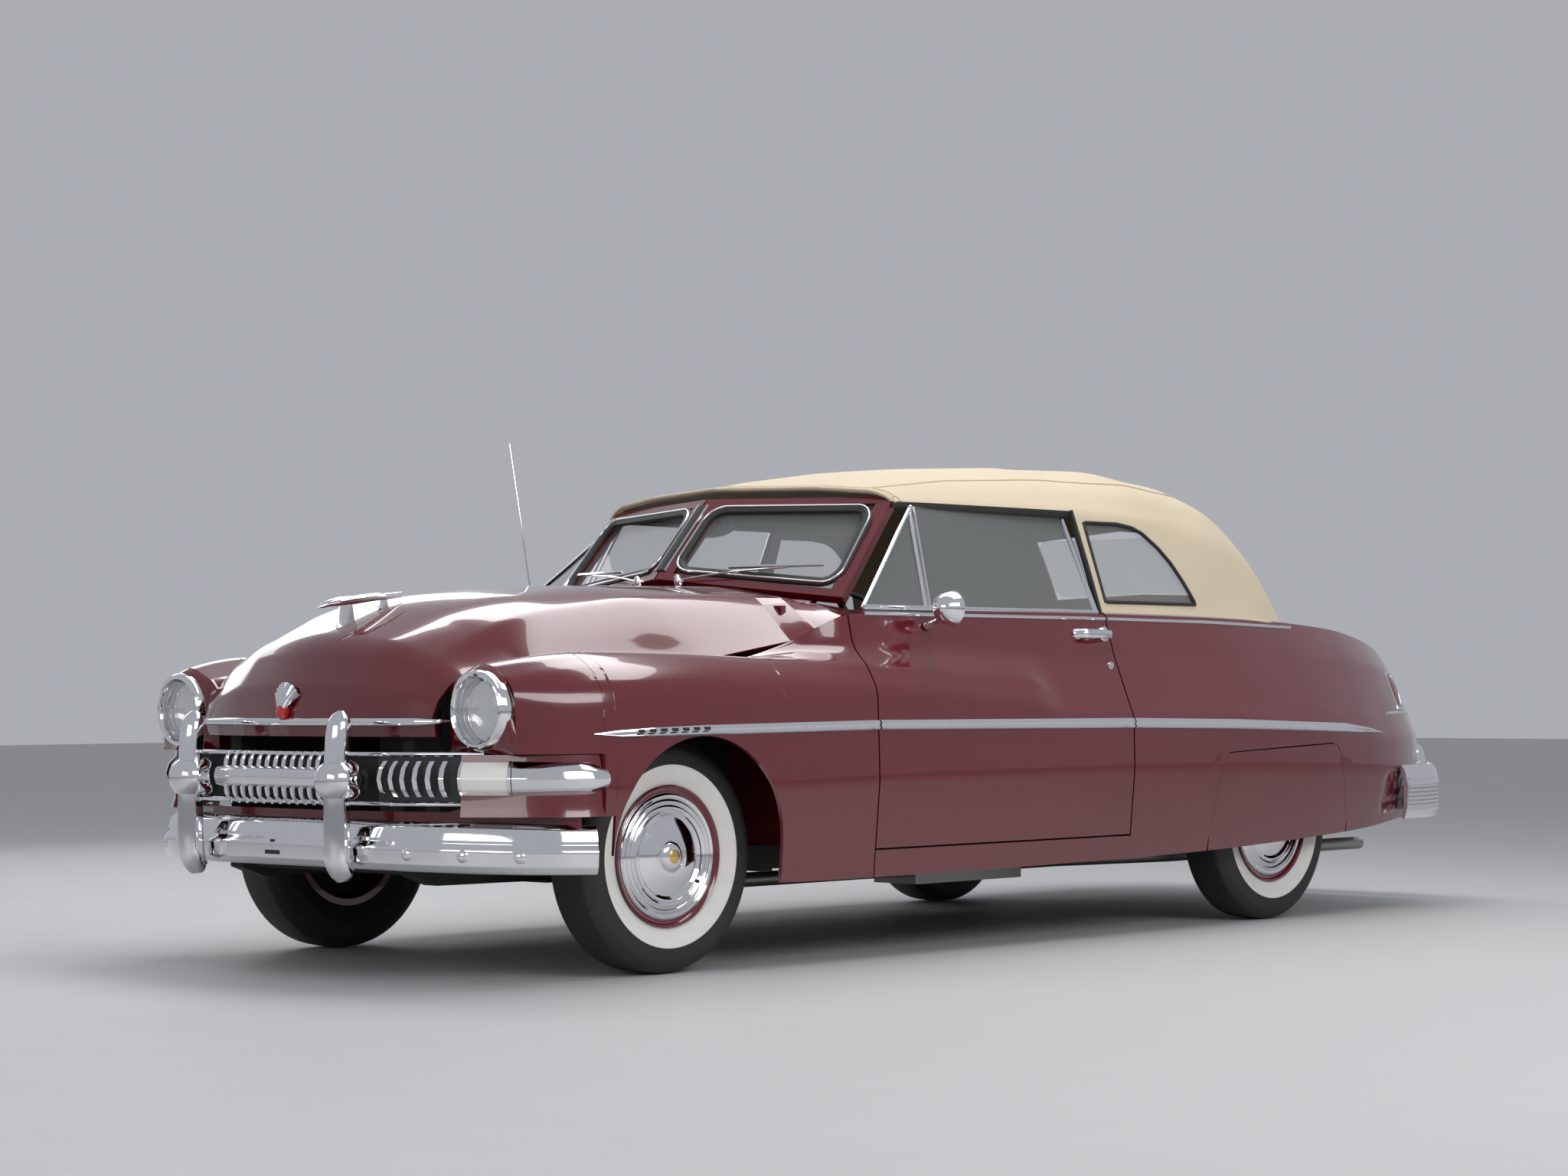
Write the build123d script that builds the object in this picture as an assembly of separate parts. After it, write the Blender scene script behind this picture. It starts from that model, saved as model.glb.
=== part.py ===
from build123d import *
import math
import os

os.makedirs("parts", exist_ok=True)

# Full-size two-door convertible, in millimetres.
# X is across the car (left side positive), Y runs front to rear, Z is up, ground at Z = 0.
# Lengths along the car in the tables are measured back from the front axle.

# main sizes
wheelbase = 2997.0
front_axle_y = -1712.5
wheel_centre_z = 345.0
tyre_radius = 345.0
tyre_half_width = 90.0
bead_radius = 190.0
track_front = 1486.0
track_rear = 1524.0
kingpin_x = 680.0
panel_gap = 5.0
skin = 20.0
quarter_wall = 80.0
door_inner_x = 770.0
door_front_s = 747.0
door_rear_s = 2012.0
door_bottom_z = 344.0
floor_z = 330.0
arch_radius = 335.0
arch_centre_z = 362.0
canvas_thick = 14.0
lamp_x = 706.0
lamp_z = 774.0
lamp_radius = 115.0
lens_radius = 88.0
lamp_front_s = -640.0
guard_x = 349.0
guard_s = -839.0
tooth_pitch = 40.0
rear_axle_s = wheelbase
hood_rear_s = 565.0
deck_front_s = 3452.0


def y_of(s):
    return front_axle_y + s


def save(shape, name):
    export_step(shape, "parts/" + name + ".step")


def block(x0, x1, s0, s1, z0, z1):
    w, d, h = abs(x1 - x0), abs(s1 - s0), abs(z1 - z0)
    return Pos((x0 + x1) / 2, y_of((s0 + s1) / 2), (z0 + z1) / 2) * Box(w, d, h)


def mirrored(shape):
    return shape.mirror(Plane.YZ)


def both(shape):
    return Compound(children=[shape, mirrored(shape)])


def group(*shapes):
    parts = []
    for shape in shapes:
        parts += list(shape.solids())
    return Compound(children=parts)


def interp(xs, ys, x):
    # monotone cubic through (xs, ys)
    n = len(xs)
    if x <= xs[0]:
        return ys[0]
    if x >= xs[-1]:
        return ys[-1]
    h = [xs[i + 1] - xs[i] for i in range(n - 1)]
    d = [(ys[i + 1] - ys[i]) / h[i] for i in range(n - 1)]
    m = [d[0]] + [0.0] * (n - 2) + [d[-1]]
    for i in range(1, n - 1):
        if d[i - 1] * d[i] > 0:
            w1, w2 = 2 * h[i] + h[i - 1], h[i] + 2 * h[i - 1]
            m[i] = (w1 + w2) / (w1 / d[i - 1] + w2 / d[i])
    i = max(j for j in range(n - 1) if xs[j] <= x)
    t = (x - xs[i]) / h[i]
    return (ys[i] * (2 * t**3 - 3 * t**2 + 1) + h[i] * m[i] * (t**3 - 2 * t**2 + t)
            + ys[i + 1] * (3 * t**2 - 2 * t**3) + h[i] * m[i + 1] * (t**3 - t**2))


def row_at(table, s):
    keys = [r[0] for r in table]
    return [interp(keys, [r[c] for r in table], s) for c in range(len(table[0]))]


def rounded(points, radii):
    # points of a polyline in space whose inner corners are turned in two chords
    pts = [Vector(*p) for p in points]
    out = [pts[0]]
    for i in range(1, len(pts) - 1):
        a, b, c = pts[i - 1], pts[i], pts[i + 1]
        if radii[i] <= 0:
            out.append(b)
            continue
        u, v = (a - b).normalized(), (c - b).normalized()
        turn = math.pi - math.acos(max(-1.0, min(1.0, u.dot(v))))
        least = min((a - b).length, (c - b).length)
        if turn < 0.01:
            out += [b + u * least * 0.2, b, b + v * least * 0.2]
            continue
        reach = min(radii[i] * math.tan(turn / 2), 0.45 * least)
        r = reach / math.tan(turn / 2)
        mid = (u + v).normalized()
        out += [b + u * reach, b + mid * (r / math.cos(turn / 2) - r), b + v * reach]
    out.append(pts[-1])
    return out


def ring_wire(outer, radii, inner, inner_radii):
    return Wire.make_polygon(rounded(outer, radii) + rounded(inner, inner_radii), close=True)


def offset_points(points, gap):
    # planar points moved to the left of travel by gap, with mitred corners
    out = []
    for i, (x, z) in enumerate(points):
        dirs = []
        if i > 0:
            dirs.append((x - points[i - 1][0], z - points[i - 1][1]))
        if i < len(points) - 1:
            dirs.append((points[i + 1][0] - x, points[i + 1][1] - z))
        normals = []
        for dx, dz in dirs:
            n = math.hypot(dx, dz)
            normals.append((-dz / n, dx / n))
        nx = sum(n[0] for n in normals)
        nz = sum(n[1] for n in normals)
        scale = gap * len(normals) / (nx * nx + nz * nz)
        out.append((x + nx * scale, z + nz * scale))
    return out


def prism_x(points, x0, x1):
    x0, x1 = min(x0, x1), max(x0, x1)
    face = Face(Wire.make_polygon([Vector(x0, y_of(s), z) for s, z in points], close=True))
    return Solid.extrude(face, Vector(x1 - x0, 0, 0))


def prism_y(points, s0, s1):
    face = Face(Wire.make_polygon([Vector(x, y_of(s0), z) for x, z in points], close=True))
    return Solid.extrude(face, Vector(0, s1 - s0, 0))


def cyl_x(x0, x1, s, z, r):
    return Pos((x0 + x1) / 2, y_of(s), z) * Rot(0, 90, 0) * Cylinder(r, abs(x1 - x0))


def cyl_y(x, s0, s1, z, r):
    return Pos(x, y_of((s0 + s1) / 2), z) * Rot(90, 0, 0) * Cylinder(r, abs(s1 - s0))


def rod(p, q, r):
    a, b = Vector(p[0], y_of(p[1]), p[2]), Vector(q[0], y_of(q[1]), q[2])
    plane = Plane(origin=a, z_dir=b - a)
    return plane * Cylinder(r, (b - a).length, align=(Align.CENTER, Align.CENTER, Align.MIN))


def turned_x(points, x, s, z, sides):
    # faceted solid turned about an axis along X, points are (offset along X, radius)
    wires = []
    for px, pr in points:
        ring = [math.pi * (2 * k / sides - 0.5) for k in range(sides)]
        wires.append(Wire.make_polygon([Vector(x + px, y_of(s) + pr * math.cos(t), z + pr * math.sin(t)) for t in ring],
                                       close=True))
    return Solid.make_loft(wires, True)


def turned_y(points, x, z, sides):
    # faceted solid turned about an axis along Y, points are (distance back, radius)
    wires = []
    for s, r in points:
        ring = [math.pi * (2 * k / sides + 0.5) for k in range(sides)]
        wires.append(Wire.make_polygon([Vector(x + r * math.cos(t), y_of(s), z + r * math.sin(t)) for t in ring], close=True))
    return Solid.make_loft(wires, True)


def turned_z(points, x, sides):
    # faceted upright solid, points are (Z, distance back of its centre, radius)
    wires = []
    for z, s, r in points:
        ring = [2 * math.pi * (k + 0.5) / sides for k in range(sides)]
        wires.append(Wire.make_polygon([Vector(x + r * math.cos(t), y_of(s) + r * math.sin(t), z) for t in ring], close=True))
    return Solid.make_loft(wires, True)


def ring_tube(radius, r, around, sides):
    # faceted ring about Z at the origin, in two halves
    halves = []
    for start in (0.0, math.pi):
        wires = []
        for k in range(around // 2 + 1):
            t = start + 2 * math.pi * k / around
            ring = [2 * math.pi * j / sides for j in range(sides)]
            wires.append(Wire.make_polygon([Vector((radius + r * math.cos(w)) * math.cos(t), (radius + r * math.cos(w)) * math.sin(t),
                                                   r * math.sin(w)) for w in ring], close=True))
        halves.append(Solid.make_loft(wires, True))
    return halves[0] + halves[1]


def finer_rows(keys, rows, at):
    # rows of numbers at more places, by a monotone cubic in each column
    return [[interp(keys, [r[c] for r in rows], k) for c in range(len(rows[0]))] for k in at]


# body side sections: distance back, then X, Z and corner radius of
# edge a (top), m (hollow), b (crest), c (widest), d (side), e (bottom)
side_table = [
    # s     xa   za    xm   zm   rm   xb   zb   rb   xc   zc   rc   xd   zd   rd   xe   ze
    (-604, 566, 752, 572, 862, 35, 704, 918, 100, 826, 846, 90, 838, 600, 80, 800, 300),
    (-450, 594, 880, 622, 884, 50, 765, 945, 110, 914, 858, 150, 936, 560, 200, 915, 290),
    (-330, 618, 890, 645, 891, 60, 800, 955, 110, 948, 866, 150, 960, 550, 250, 935, 275),
    (0, 682, 902, 715, 901, 60, 850, 952, 100, 966, 866, 150, 974, 545, 300, 948, 262),
    (300, 741, 914, 772, 911, 60, 880, 936, 90, 968, 852, 150, 976, 545, 300, 948, 258),
    (565, 793, 984, 815, 950, 60, 905, 916, 70, 968, 842, 130, 976, 550, 300, 948, 255),
    (742, 846, 1064, 868, 962, 120, 924, 905, 55, 968, 830, 120, 976, 555, 300, 948, 255),
    (1050, 852, 1070, 874, 960, 120, 931, 889, 45, 970, 815, 120, 977, 560, 300, 948, 255),
    (1300, 852, 1075, 880, 950, 120, 936, 873, 40, 971, 795, 120, 977, 560, 300, 948, 256),
    (1540, 852, 1078, 885, 945, 120, 941, 860, 35, 972, 780, 110, 977, 560, 300, 948, 258),
    (1640, 852, 1080, 890, 935, 120, 948, 800, 35, 973, 745, 90, 977, 560, 300, 948, 259),
    (2012, 850, 1082, 890, 945, 120, 951, 792, 35, 974, 738, 90, 977, 560, 300, 948, 262),
    (2600, 842, 1078, 886, 945, 120, 950, 782, 35, 974, 728, 90, 976, 550, 300, 945, 275),
    (3100, 808, 1068, 866, 940, 120, 943, 764, 40, 967, 700, 90, 969, 540, 300, 938, 295),
    (3480, 762, 1048, 830, 930, 120, 916, 728, 50, 941, 662, 90, 944, 530, 300, 915, 315),
    (3700, 722, 1022, 792, 915, 110, 880, 700, 60, 906, 640, 90, 910, 525, 200, 884, 335),
    (3900, 676, 982, 738, 890, 90, 818, 700, 70, 846, 640, 80, 850, 520, 200, 828, 352),
    (4040, 634, 930, 684, 850, 70, 752, 700, 70, 778, 640, 80, 782, 520, 150, 762, 368),
    (4130, 596, 866, 634, 800, 60, 686, 690, 60, 708, 635, 70, 712, 520, 100, 694, 385),
]


def side_points(s):
    r = row_at(side_table, s)
    pts = [(r[1], r[2]), (r[3], r[4]), (r[6], r[7]), (r[9], r[10]), (r[12], r[13]), (r[15], r[16])]
    return pts, [0, r[5], r[8], r[11], r[14], 0]


def stations(first, last):
    return [first] + [r[0] for r in side_table if first + 40 < r[0] < last - 40] + [last]


def side_skin(first, last, thick):
    wires = []
    for s in stations(first, last):
        pts, radii = side_points(s)
        inner = offset_points(pts, -thick)
        inner_radii = [0] + [max(4, radii[1] + thick)] + [max(4, r - thick) for r in radii[2:5]] + [0]
        outer3 = [(x, y_of(s), z) for x, z in pts]
        inner3 = [(x, y_of(s), z) for x, z in inner][::-1]
        wires.append(ring_wire(outer3, radii, inner3, inner_radii[::-1]))
    return Solid.make_loft(wires, True)


def side_slab(first, last, inner_of, extra=()):
    wires = []
    for s in sorted(stations(first, last) + list(extra)):
        pts, radii = side_points(s)
        inner = inner_of(pts, s)
        outer3 = [(x, y_of(s), z) for x, z in pts]
        inner3 = [(x, y_of(s), z) for x, z in inner][::-1]
        wires.append(ring_wire(outer3, radii, inner3, [0] * len(inner3)))
    return Solid.make_loft(wires, True)


def side_band(first, last, out, inn):
    # layer between two copies of the side, shifted across by out and inn
    wires = []
    for s in stations(first, last):
        pts, radii = side_points(s)
        outer3 = [(x + out, y_of(s), z) for x, z in pts]
        inner3 = [(x + inn, y_of(s), z) for x, z in pts][::-1]
        wires.append(ring_wire(outer3, radii, inner3, radii[::-1]))
    return Solid.make_loft(wires, True)


# front fenders
arch_line = [(-arch_radius, 0), (-arch_radius, arch_centre_z)]
arch_line += [(-arch_radius * math.cos(math.pi * k / 16), arch_centre_z + arch_radius * math.sin(math.pi * k / 16))
              for k in range(1, 16)]
arch_line += [(arch_radius, arch_centre_z), (arch_radius, 0)]
arch = prism_x(arch_line, 500, 1100)
lamp_hole = turned_y([(-700, lamp_radius - 1), (-500, lamp_radius - 1)], lamp_x, lamp_z, 28)
fender = side_skin(-604, door_front_s - panel_gap, skin)
fender = fender - arch - block(500, 1100, -700, -arch_radius + 1, 0, 476) - lamp_hole
nose_pts, nose_radii = side_points(-604)
nose_face = [(x, z) for x, z in nose_pts[:4]] + [(838, 652), (566, 652)]
nose_wire = Wire.make_polygon(rounded([(x, y_of(-612), z) for x, z in nose_face] + [(566, y_of(-612), 752)],
                                      [0, 35, 100, 90, 20, 20, 0])[:-1], close=True)
nose = Solid.extrude(Face(nose_wire), Vector(0, 30, 0)) - lamp_hole
fender_back = side_slab(700, 712, lambda pts, s: [(765, pts[0][1]), (765, pts[-1][1])]) & block(700, 1100, 690, 720, 352, 1000)
fender = fender + nose + fender_back

# outer run of the grille, its crease line from the guard round to the wheel opening
outer_path = [(411, -795), (520, -768), (617, -730), (700, -690), (780, -640), (860, -575), (925, -500), (960, -425),
              (966, -368)]
grille_z = 582.0
chevron = [(0, 0), (-10, 30), (-36, 56), (-75, 64), (-75, -64), (-36, -56), (-10, -30)]


def chevron_wire(x, s, nx, ns, size, out):
    pts = [Vector(x + nx * (o * size + out), y_of(s + ns * (o * size + out)), grille_z + z * size) for o, z in chevron]
    return Wire.make_polygon(pts, close=True)


def outer_run(first, last, out, end=False):
    # solid of the chevron section along the outer path between two x places
    inner = [x for x, s in outer_path if first + 12 < x < last - 12]
    wires = []
    for x in [first] + inner + [last]:
        s = interp([p[0] for p in outer_path], [p[1] for p in outer_path], x)
        lo, hi = max(411, x - 12), min(966, x + 12)
        ds = interp([p[0] for p in outer_path], [p[1] for p in outer_path], hi) - \
            interp([p[0] for p in outer_path], [p[1] for p in outer_path], lo)
        n = math.hypot(hi - lo, ds)
        size = interp([411, 925, 960, 966], [1.0, 1.0, 0.86, 0.4], x) if end else 1.0
        wires.append(chevron_wire(x, s, ds / n, -(hi - lo) / n, size, out))
    return Solid.make_loft(wires, True)


bullet = outer_run(820, 966, 0, True)
outer_back = outer_run(430, 822, -34) & block(430, 822, -900, -400, 400, 700)
fender = fender - outer_run(640, 966, 1.0, True) - bullet - outer_back
fender = fender.solids().sort_by(SortBy.VOLUME)[-1]
save(fender, "front_fender_left")
save(mirrored(fender), "front_fender_right")

# hood: profiles along the car on upright planes, each from x at the nose to x at the rear
hood_table = [
    # x nose, x rear, then distance back and Z of six points from the lip to the rear edge
    (0, 0, -772, 745, -744, 850, -664, 986, -304, 1119, 100, 1157, hood_rear_s, 1168),
    (250, 330, -745, 745, -724, 840, -644, 966, -304, 1107, 100, 1150, hood_rear_s, 1160),
    (430, 590, -705, 745, -684, 822, -604, 920, -304, 1058, 100, 1112, hood_rear_s, 1128),
    (538, 772, -662, 745, -642, 800, -585, 868, -304, 890, 150, 903, hood_rear_s, 980),
]
hood_radii = [0, 90, 160, 900, 1200, 0]
hood_skin = 18.0


def hood_wire(row, sign):
    pts = [(row[i], row[i + 1]) for i in range(2, 14, 2)]
    inner = offset_points(pts, -hood_skin)
    inner[0] = (inner[0][0], pts[0][1])
    inner[-1] = (pts[-1][0], inner[-1][1])
    s0, s1 = pts[0][0], pts[-1][0]

    def place(p):
        x = row[0] + (row[1] - row[0]) * (p[0] - s0) / (s1 - s0)
        return (sign * x, y_of(p[0]), p[1])
    radii = hood_radii
    inner_radii = [0] + [max(10, r - hood_skin) for r in radii[1:5]] + [0]
    return ring_wire([place(p) for p in pts], radii, [place(p) for p in inner][::-1], inner_radii[::-1])


hood_keys = [-1, -0.8, -0.45, 0, 0.45, 0.8, 1]
hood_all = hood_table[:0:-1] + hood_table
hood_fine = finer_rows(hood_keys, hood_all, [0, 0.15, 0.3, 0.45, 0.6, 0.72, 0.8, 0.9, 1])
hood_rows = [(r, -1) for r in hood_fine[:0:-1]] + [(r, 1) for r in hood_fine]
hood = Solid.make_loft([hood_wire(r, sign) for r, sign in hood_rows], True)
save(hood, "hood")

# hood ornament: winged spear on the nose
orn_z = 1085.0
orn = Solid.make_loft([
    Wire.make_polygon([Vector(x, y_of(s), z) for x, z in ((-w, zc), (0, zc + h), (w, zc), (0, zc - 9))], close=True)
    for s, w, h, zc in ((-648, 4, 4, 1096), (-600, 26, 22, 1092), (-500, 34, 24, 1100), (-360, 8, 8, 1122))])
wing = prism_y([(18, 1094), (95, 1108), (95, 1114), (18, 1106)], -590, -430)
wing = wing - (Pos(60, y_of(-610), 1100) * Rot(0, 0, 35) * Box(160, 60, 60))
stand = Pos(0, y_of(-505), 1080) * Box(16, 60, 50)
save(Compound(children=list((orn + wing + mirrored(wing) + stand - hood).solids().sort_by(SortBy.VOLUME)[-1:])),
     "hood_ornament")

# cowl between the hood and the windscreen
cowl_table = [
    # s     x0  z0    x1   z1    x2   z2   x3   z3
    (hood_rear_s + panel_gap, 0, 1168, 350, 1160, 620, 1120, 768, 975),
    (650, 0, 1170, 360, 1160, 650, 1118, 792, 1018),
    (742, 0, 1168, 370, 1154, 668, 1106, 820, 1058),
    (900, 0, 1150, 380, 1130, 690, 1086, 820, 1062),
]
cowl_wires = []
for row in cowl_table:
    top = [(row[i], row[i + 1]) for i in range(1, 9, 2)]
    low = [(x, z - 24) for x, z in top][::-1]
    outer = [(-x, y_of(row[0]), z) for x, z in top[:0:-1]] + [(x, y_of(row[0]), z) for x, z in top]
    inner = [(x, y_of(row[0]), z) for x, z in low] + [(-x, y_of(row[0]), z) for x, z in low[-2::-1]]
    radii = [0, 120, 900, 900, 900, 120, 0]
    cowl_wires.append(ring_wire(outer, radii, inner, radii))
cowl = Solid.make_loft(cowl_wires, True) - block(764, 900, 742, 1000, 900, 1200) - block(-900, -764, 742, 1000, 900, 1200)
firewall = block(-700, 700, 600, 620, 352, 1090) - block(-100, 100, 590, 630, 340, 408)
cowl_side = block(735, 765, 600, 742, 300, 1000)
sill_end = block(700, 765, 600, 760, 300, 338)


# rear quarters, rockers and tail
lid_edge_front, lid_edge_rear = 700.0, 578.0
lid_edge_slope = (lid_edge_rear - lid_edge_front) / (4066 - deck_front_s)


def quarter_inner(pts, s):
    edge = lid_edge_front + lid_edge_slope * (s - deck_front_s) + 7 + 8 * (s - deck_front_s) / 678
    if s < deck_front_s - 100:
        edge = 0
    return [(max(pts[0][0] - 55, edge), pts[0][1])] + [(max(x - quarter_wall, edge), z) for x, z in pts[1:]]


quarter = side_slab(door_rear_s + panel_gap, 4130, quarter_inner, (3351, 3353))
skirt_points = [(2462, 200), (2462, 300), (2516, 560), (2564, 610.2), (3194, 633.6), (3246, 604), (3330, 330),
                (3330, 200)]
skirt_gap_points = [(2456, 190), (2456, 301), (2511, 562), (2556, 610), (3202, 634), (3251, 608), (3337, 332),
                    (3337, 190)]
skirt = side_skin(2440, 3345, 16) & prism_x(skirt_points, 880, 1000)
quarter = quarter - prism_x(skirt_gap_points, 600, 1100)
lamp_cut = side_band(3840, 4010, 25, -30) & block(600, 1000, 3856, 3996, 748, 892)
quarter = quarter - lamp_cut
rocker = side_slab(door_front_s - panel_gap + 5, door_rear_s + panel_gap + 20,
                   lambda pts, s: [(700, pts[0][1]), (700, pts[-1][1])])
rocker = rocker & block(600, 1100, door_front_s, door_rear_s + panel_gap + 1, 200, door_bottom_z - panel_gap - 1)
tail_lower = prism_x([(4040, 380), (4122, 380), (4130, 470), (4126, 560), (4100, 575), (4040, 575)], -640, 640)
shelf_wires = []
for s, w, crown in ((3190, 752, 1098), (3447, 716, 1080)):
    pts = [(-w, crown - 42), (-0.6 * w, crown - 12), (0, crown), (0.6 * w, crown - 12), (w, crown - 42)]
    pts += [(x, z - 20) for x, z in pts[::-1]]
    shelf_wires.append(Wire.make_polygon([Vector(x, y_of(s), z) for x, z in pts], close=True))
rear_shelf = Solid.make_loft(shelf_wires, True)
trunk_front = block(-860, 860, 3150, 3165, 600, 1050)
tub = [cowl + firewall, cowl_side + sill_end, mirrored(cowl_side + sill_end), quarter, mirrored(quarter), rocker, mirrored(rocker),
       tail_lower, rear_shelf]
body_tub = tub[0]
for piece in tub[1:]:
    body_tub = body_tub + piece
body_tub = group(body_tub)
save(body_tub, "body_tub")
save(both(skirt), "rear_skirts")

# decklid: profiles along the car, each from its front edge over the top to the lower edge
deck_table = [
    # x front, x rear, then distance back and Z of five points
    (0, 0, deck_front_s, 1080, 3760, 1064, 4020, 975, 4118, 760, 4124, 585),
    (330, 300, deck_front_s, 1074, 3760, 1056, 4014, 966, 4112, 755, 4120, 585),
    (570, 500, deck_front_s, 1058, 3740, 1036, 3985, 948, 4085, 750, 4098, 585),
    (lid_edge_front, lid_edge_rear, deck_front_s, 1040, 3720, 1012, 3950, 938, 4050, 745, 4066, 585),
]
deck_radii = [0, 700, 300, 300, 0]


def deck_wire(row, sign):
    pts = [(row[i], row[i + 1]) for i in range(2, 12, 2)]
    inner = offset_points(pts, -hood_skin)
    inner[0] = (pts[0][0], inner[0][1])
    s0, s1 = pts[0][0], pts[-1][0]

    def place(p):
        x = row[0] + (row[1] - row[0]) * (p[0] - s0) / (s1 - s0)
        return (sign * x, y_of(p[0]), p[1])
    inner_radii = [0] + [max(10, r - hood_skin) for r in deck_radii[1:4]] + [0]
    return ring_wire([place(p) for p in pts], deck_radii, [place(p) for p in inner][::-1], inner_radii[::-1])


deck_fine = finer_rows([-1, -0.83, -0.47, 0, 0.47, 0.83, 1], deck_table[:0:-1] + deck_table, [0, 0.25, 0.47, 0.65, 0.83, 1])
deck_rows = [(r, -1) for r in deck_fine[:0:-1]] + [(r, 1) for r in deck_fine]
decklid = Solid.make_loft([deck_wire(r, sign) for r, sign in deck_rows], True)
save(decklid, "decklid")

# doors
door = side_slab(door_front_s + 1, door_rear_s - 1, lambda pts, s: [(door_inner_x, pts[0][1]), (door_inner_x, pts[-1][1])])
door = door - block(600, 1100, door_front_s - 50, door_rear_s + 50, 100, door_bottom_z)
# the rear edge slants so that its inner corner swings clear of the quarter
door_slant = Face(Wire.make_polygon([Vector(x, y_of(s), 0) for x, s in ((980, door_rear_s - 1), (760, door_rear_s - 24),
                                                                        (760, door_rear_s + 30), (980, door_rear_s + 30))],
                                    close=True))
door = door - Solid.extrude(door_slant, Vector(0, 0, 1300))
door = door.solids().sort_by(SortBy.VOLUME)[-1]
save(door, "door_left")
save(mirrored(door), "door_right")

# windscreen in two flat panes
ws_base0, ws_top0 = (0, 742, 1186), (0, 984, 1455)
ws_base1, ws_top1 = (690, 894, 1112), (655, 1175, 1448)


def pane(corners, thick, shift):
    pts = [Vector(x, y_of(s), z) for x, s, z in corners]
    normal = (pts[1] - pts[0]).cross(pts[3] - pts[0]).normalized()
    third = pts[2] - normal * (pts[2] - pts[0]).dot(normal)
    base = [pts[0], pts[1], third, pts[3]]
    face = Face(Wire.make_polygon([p + normal * shift for p in base], close=True))
    return Solid.extrude(face, normal * thick)


def inset(corners, gap):
    cx = sum(c[0] for c in corners) / 4
    cs = sum(c[1] for c in corners) / 4
    cz = sum(c[2] for c in corners) / 4
    out = []
    for x, s, z in corners:
        d = math.sqrt((x - cx)**2 + (s - cs)**2 + (z - cz)**2)
        k = (d - gap) / d
        out.append((cx + (x - cx) * k, cs + (s - cs) * k, cz + (z - cz) * k))
    return out


ws_corners = [ws_base0, ws_base1, ws_top1, ws_top0]
frame_half = pane(ws_corners, 34, -20) - pane(inset(ws_corners, 62), 120, -60)
centre_cut = block(-200, 0, 500, 1500, 900, 1700)
frame_half = frame_half - centre_cut
ws_frame = frame_half + mirrored(frame_half)
ws_frame = ws_frame - cowl
ws_frame = Compound(children=[s for s in ws_frame.solids() if s.volume > 1e5])
save(ws_frame, "windshield_frame")
glass_half = pane(inset(ws_corners, 62), 6, -6)
save(both(glass_half), "windshield_glass")

# soft top: upright sections, each from the centre to the lower edge
top_table = [
    # s centre, s side, zc, x1, z1, x2, z2, x3, z3, x4, z4
    (1000, 1188, 1500, 380, 1492, 600, 1474, 668, 1440, 800, 1092),
    (1500, 1560, 1574, 400, 1562, 610, 1510, 690, 1440, 812, 1092),
    (2000, 2030, 1616, 420, 1598, 620, 1530, 705, 1436, 826, 1076),
    (2400, 2400, 1634, 430, 1606, 625, 1528, 712, 1420, 828, 1072),
    (2800, 2740, 1612, 430, 1580, 630, 1494, 724, 1370, 824, 1068),
    (3140, 2990, 1500, 430, 1460, 630, 1388, 732, 1288, 812, 1062),
    (3420, 3180, 1088, 430, 1080, 640, 1068, 745, 1056, 790, 1044),
]


def top_wire(row, outer_gap, inner_gap):
    pts = [(0, row[2]), (row[3], row[4]), (row[5], row[6]), (row[7], row[8]), (row[9], row[10])]
    sides = []
    for gap in (outer_gap, inner_gap):
        line = offset_points(pts, -gap) if gap else list(pts)
        line[0] = (0, line[0][1])
        line[-1] = (line[-1][0], pts[-1][1])
        sides.append(line)
    span = row[9]

    def place(p):
        return (p[0], y_of(row[0] + (row[1] - row[0]) * p[0] / span), p[1])
    outer_radii = [0, 600 - outer_gap, 200 - outer_gap, 90 - outer_gap, 0]
    inner_radii = [0, 600 - inner_gap, 200 - inner_gap, 90 - inner_gap, 0]
    return ring_wire([place(p) for p in sides[0]], outer_radii, [place(p) for p in sides[1]][::-1], inner_radii[::-1])


top_fine = finer_rows([r[0] for r in top_table], top_table, [1000, 1250, 1500, 1750, 2000, 2400, 2800, 2980, 3140, 3280, 3420])
top_half = Solid.make_loft([top_wire(row, 0, canvas_thick) for row in top_fine], True)
door_window = block(500, 1000, 900, door_rear_s + 10, 1000, 1436)
quarter_window = prism_x([(door_rear_s + 60, 1124), (2580, 1124), (2500, 1270), (2380, 1370), (2250, 1398),
                          (door_rear_s + 60, 1398)], 500, 1000)
back_window = prism_y([(-1, 1190), (330, 1190), (350, 1230), (350, 1370), (320, 1405), (-1, 1405)], 3050, 3500)
top_half = top_half - door_window - quarter_window - back_window
top_half = top_half - pane(ws_corners, 34, -20) - body_tub
top_half = top_half.solids().sort_by(SortBy.VOLUME)[-1]
soft_top = top_half + mirrored(top_half)
save(soft_top, "soft_top")
pane_shell = Solid.make_loft([top_wire(row, 4, 9) for row in top_fine], True)
side_pane = (pane_shell & quarter_window).solids()[0]
back_pane = (pane_shell & back_window).solids()[0]
save(group(side_pane, mirrored(side_pane), back_pane + mirrored(back_pane)), "quarter_glass")

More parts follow.
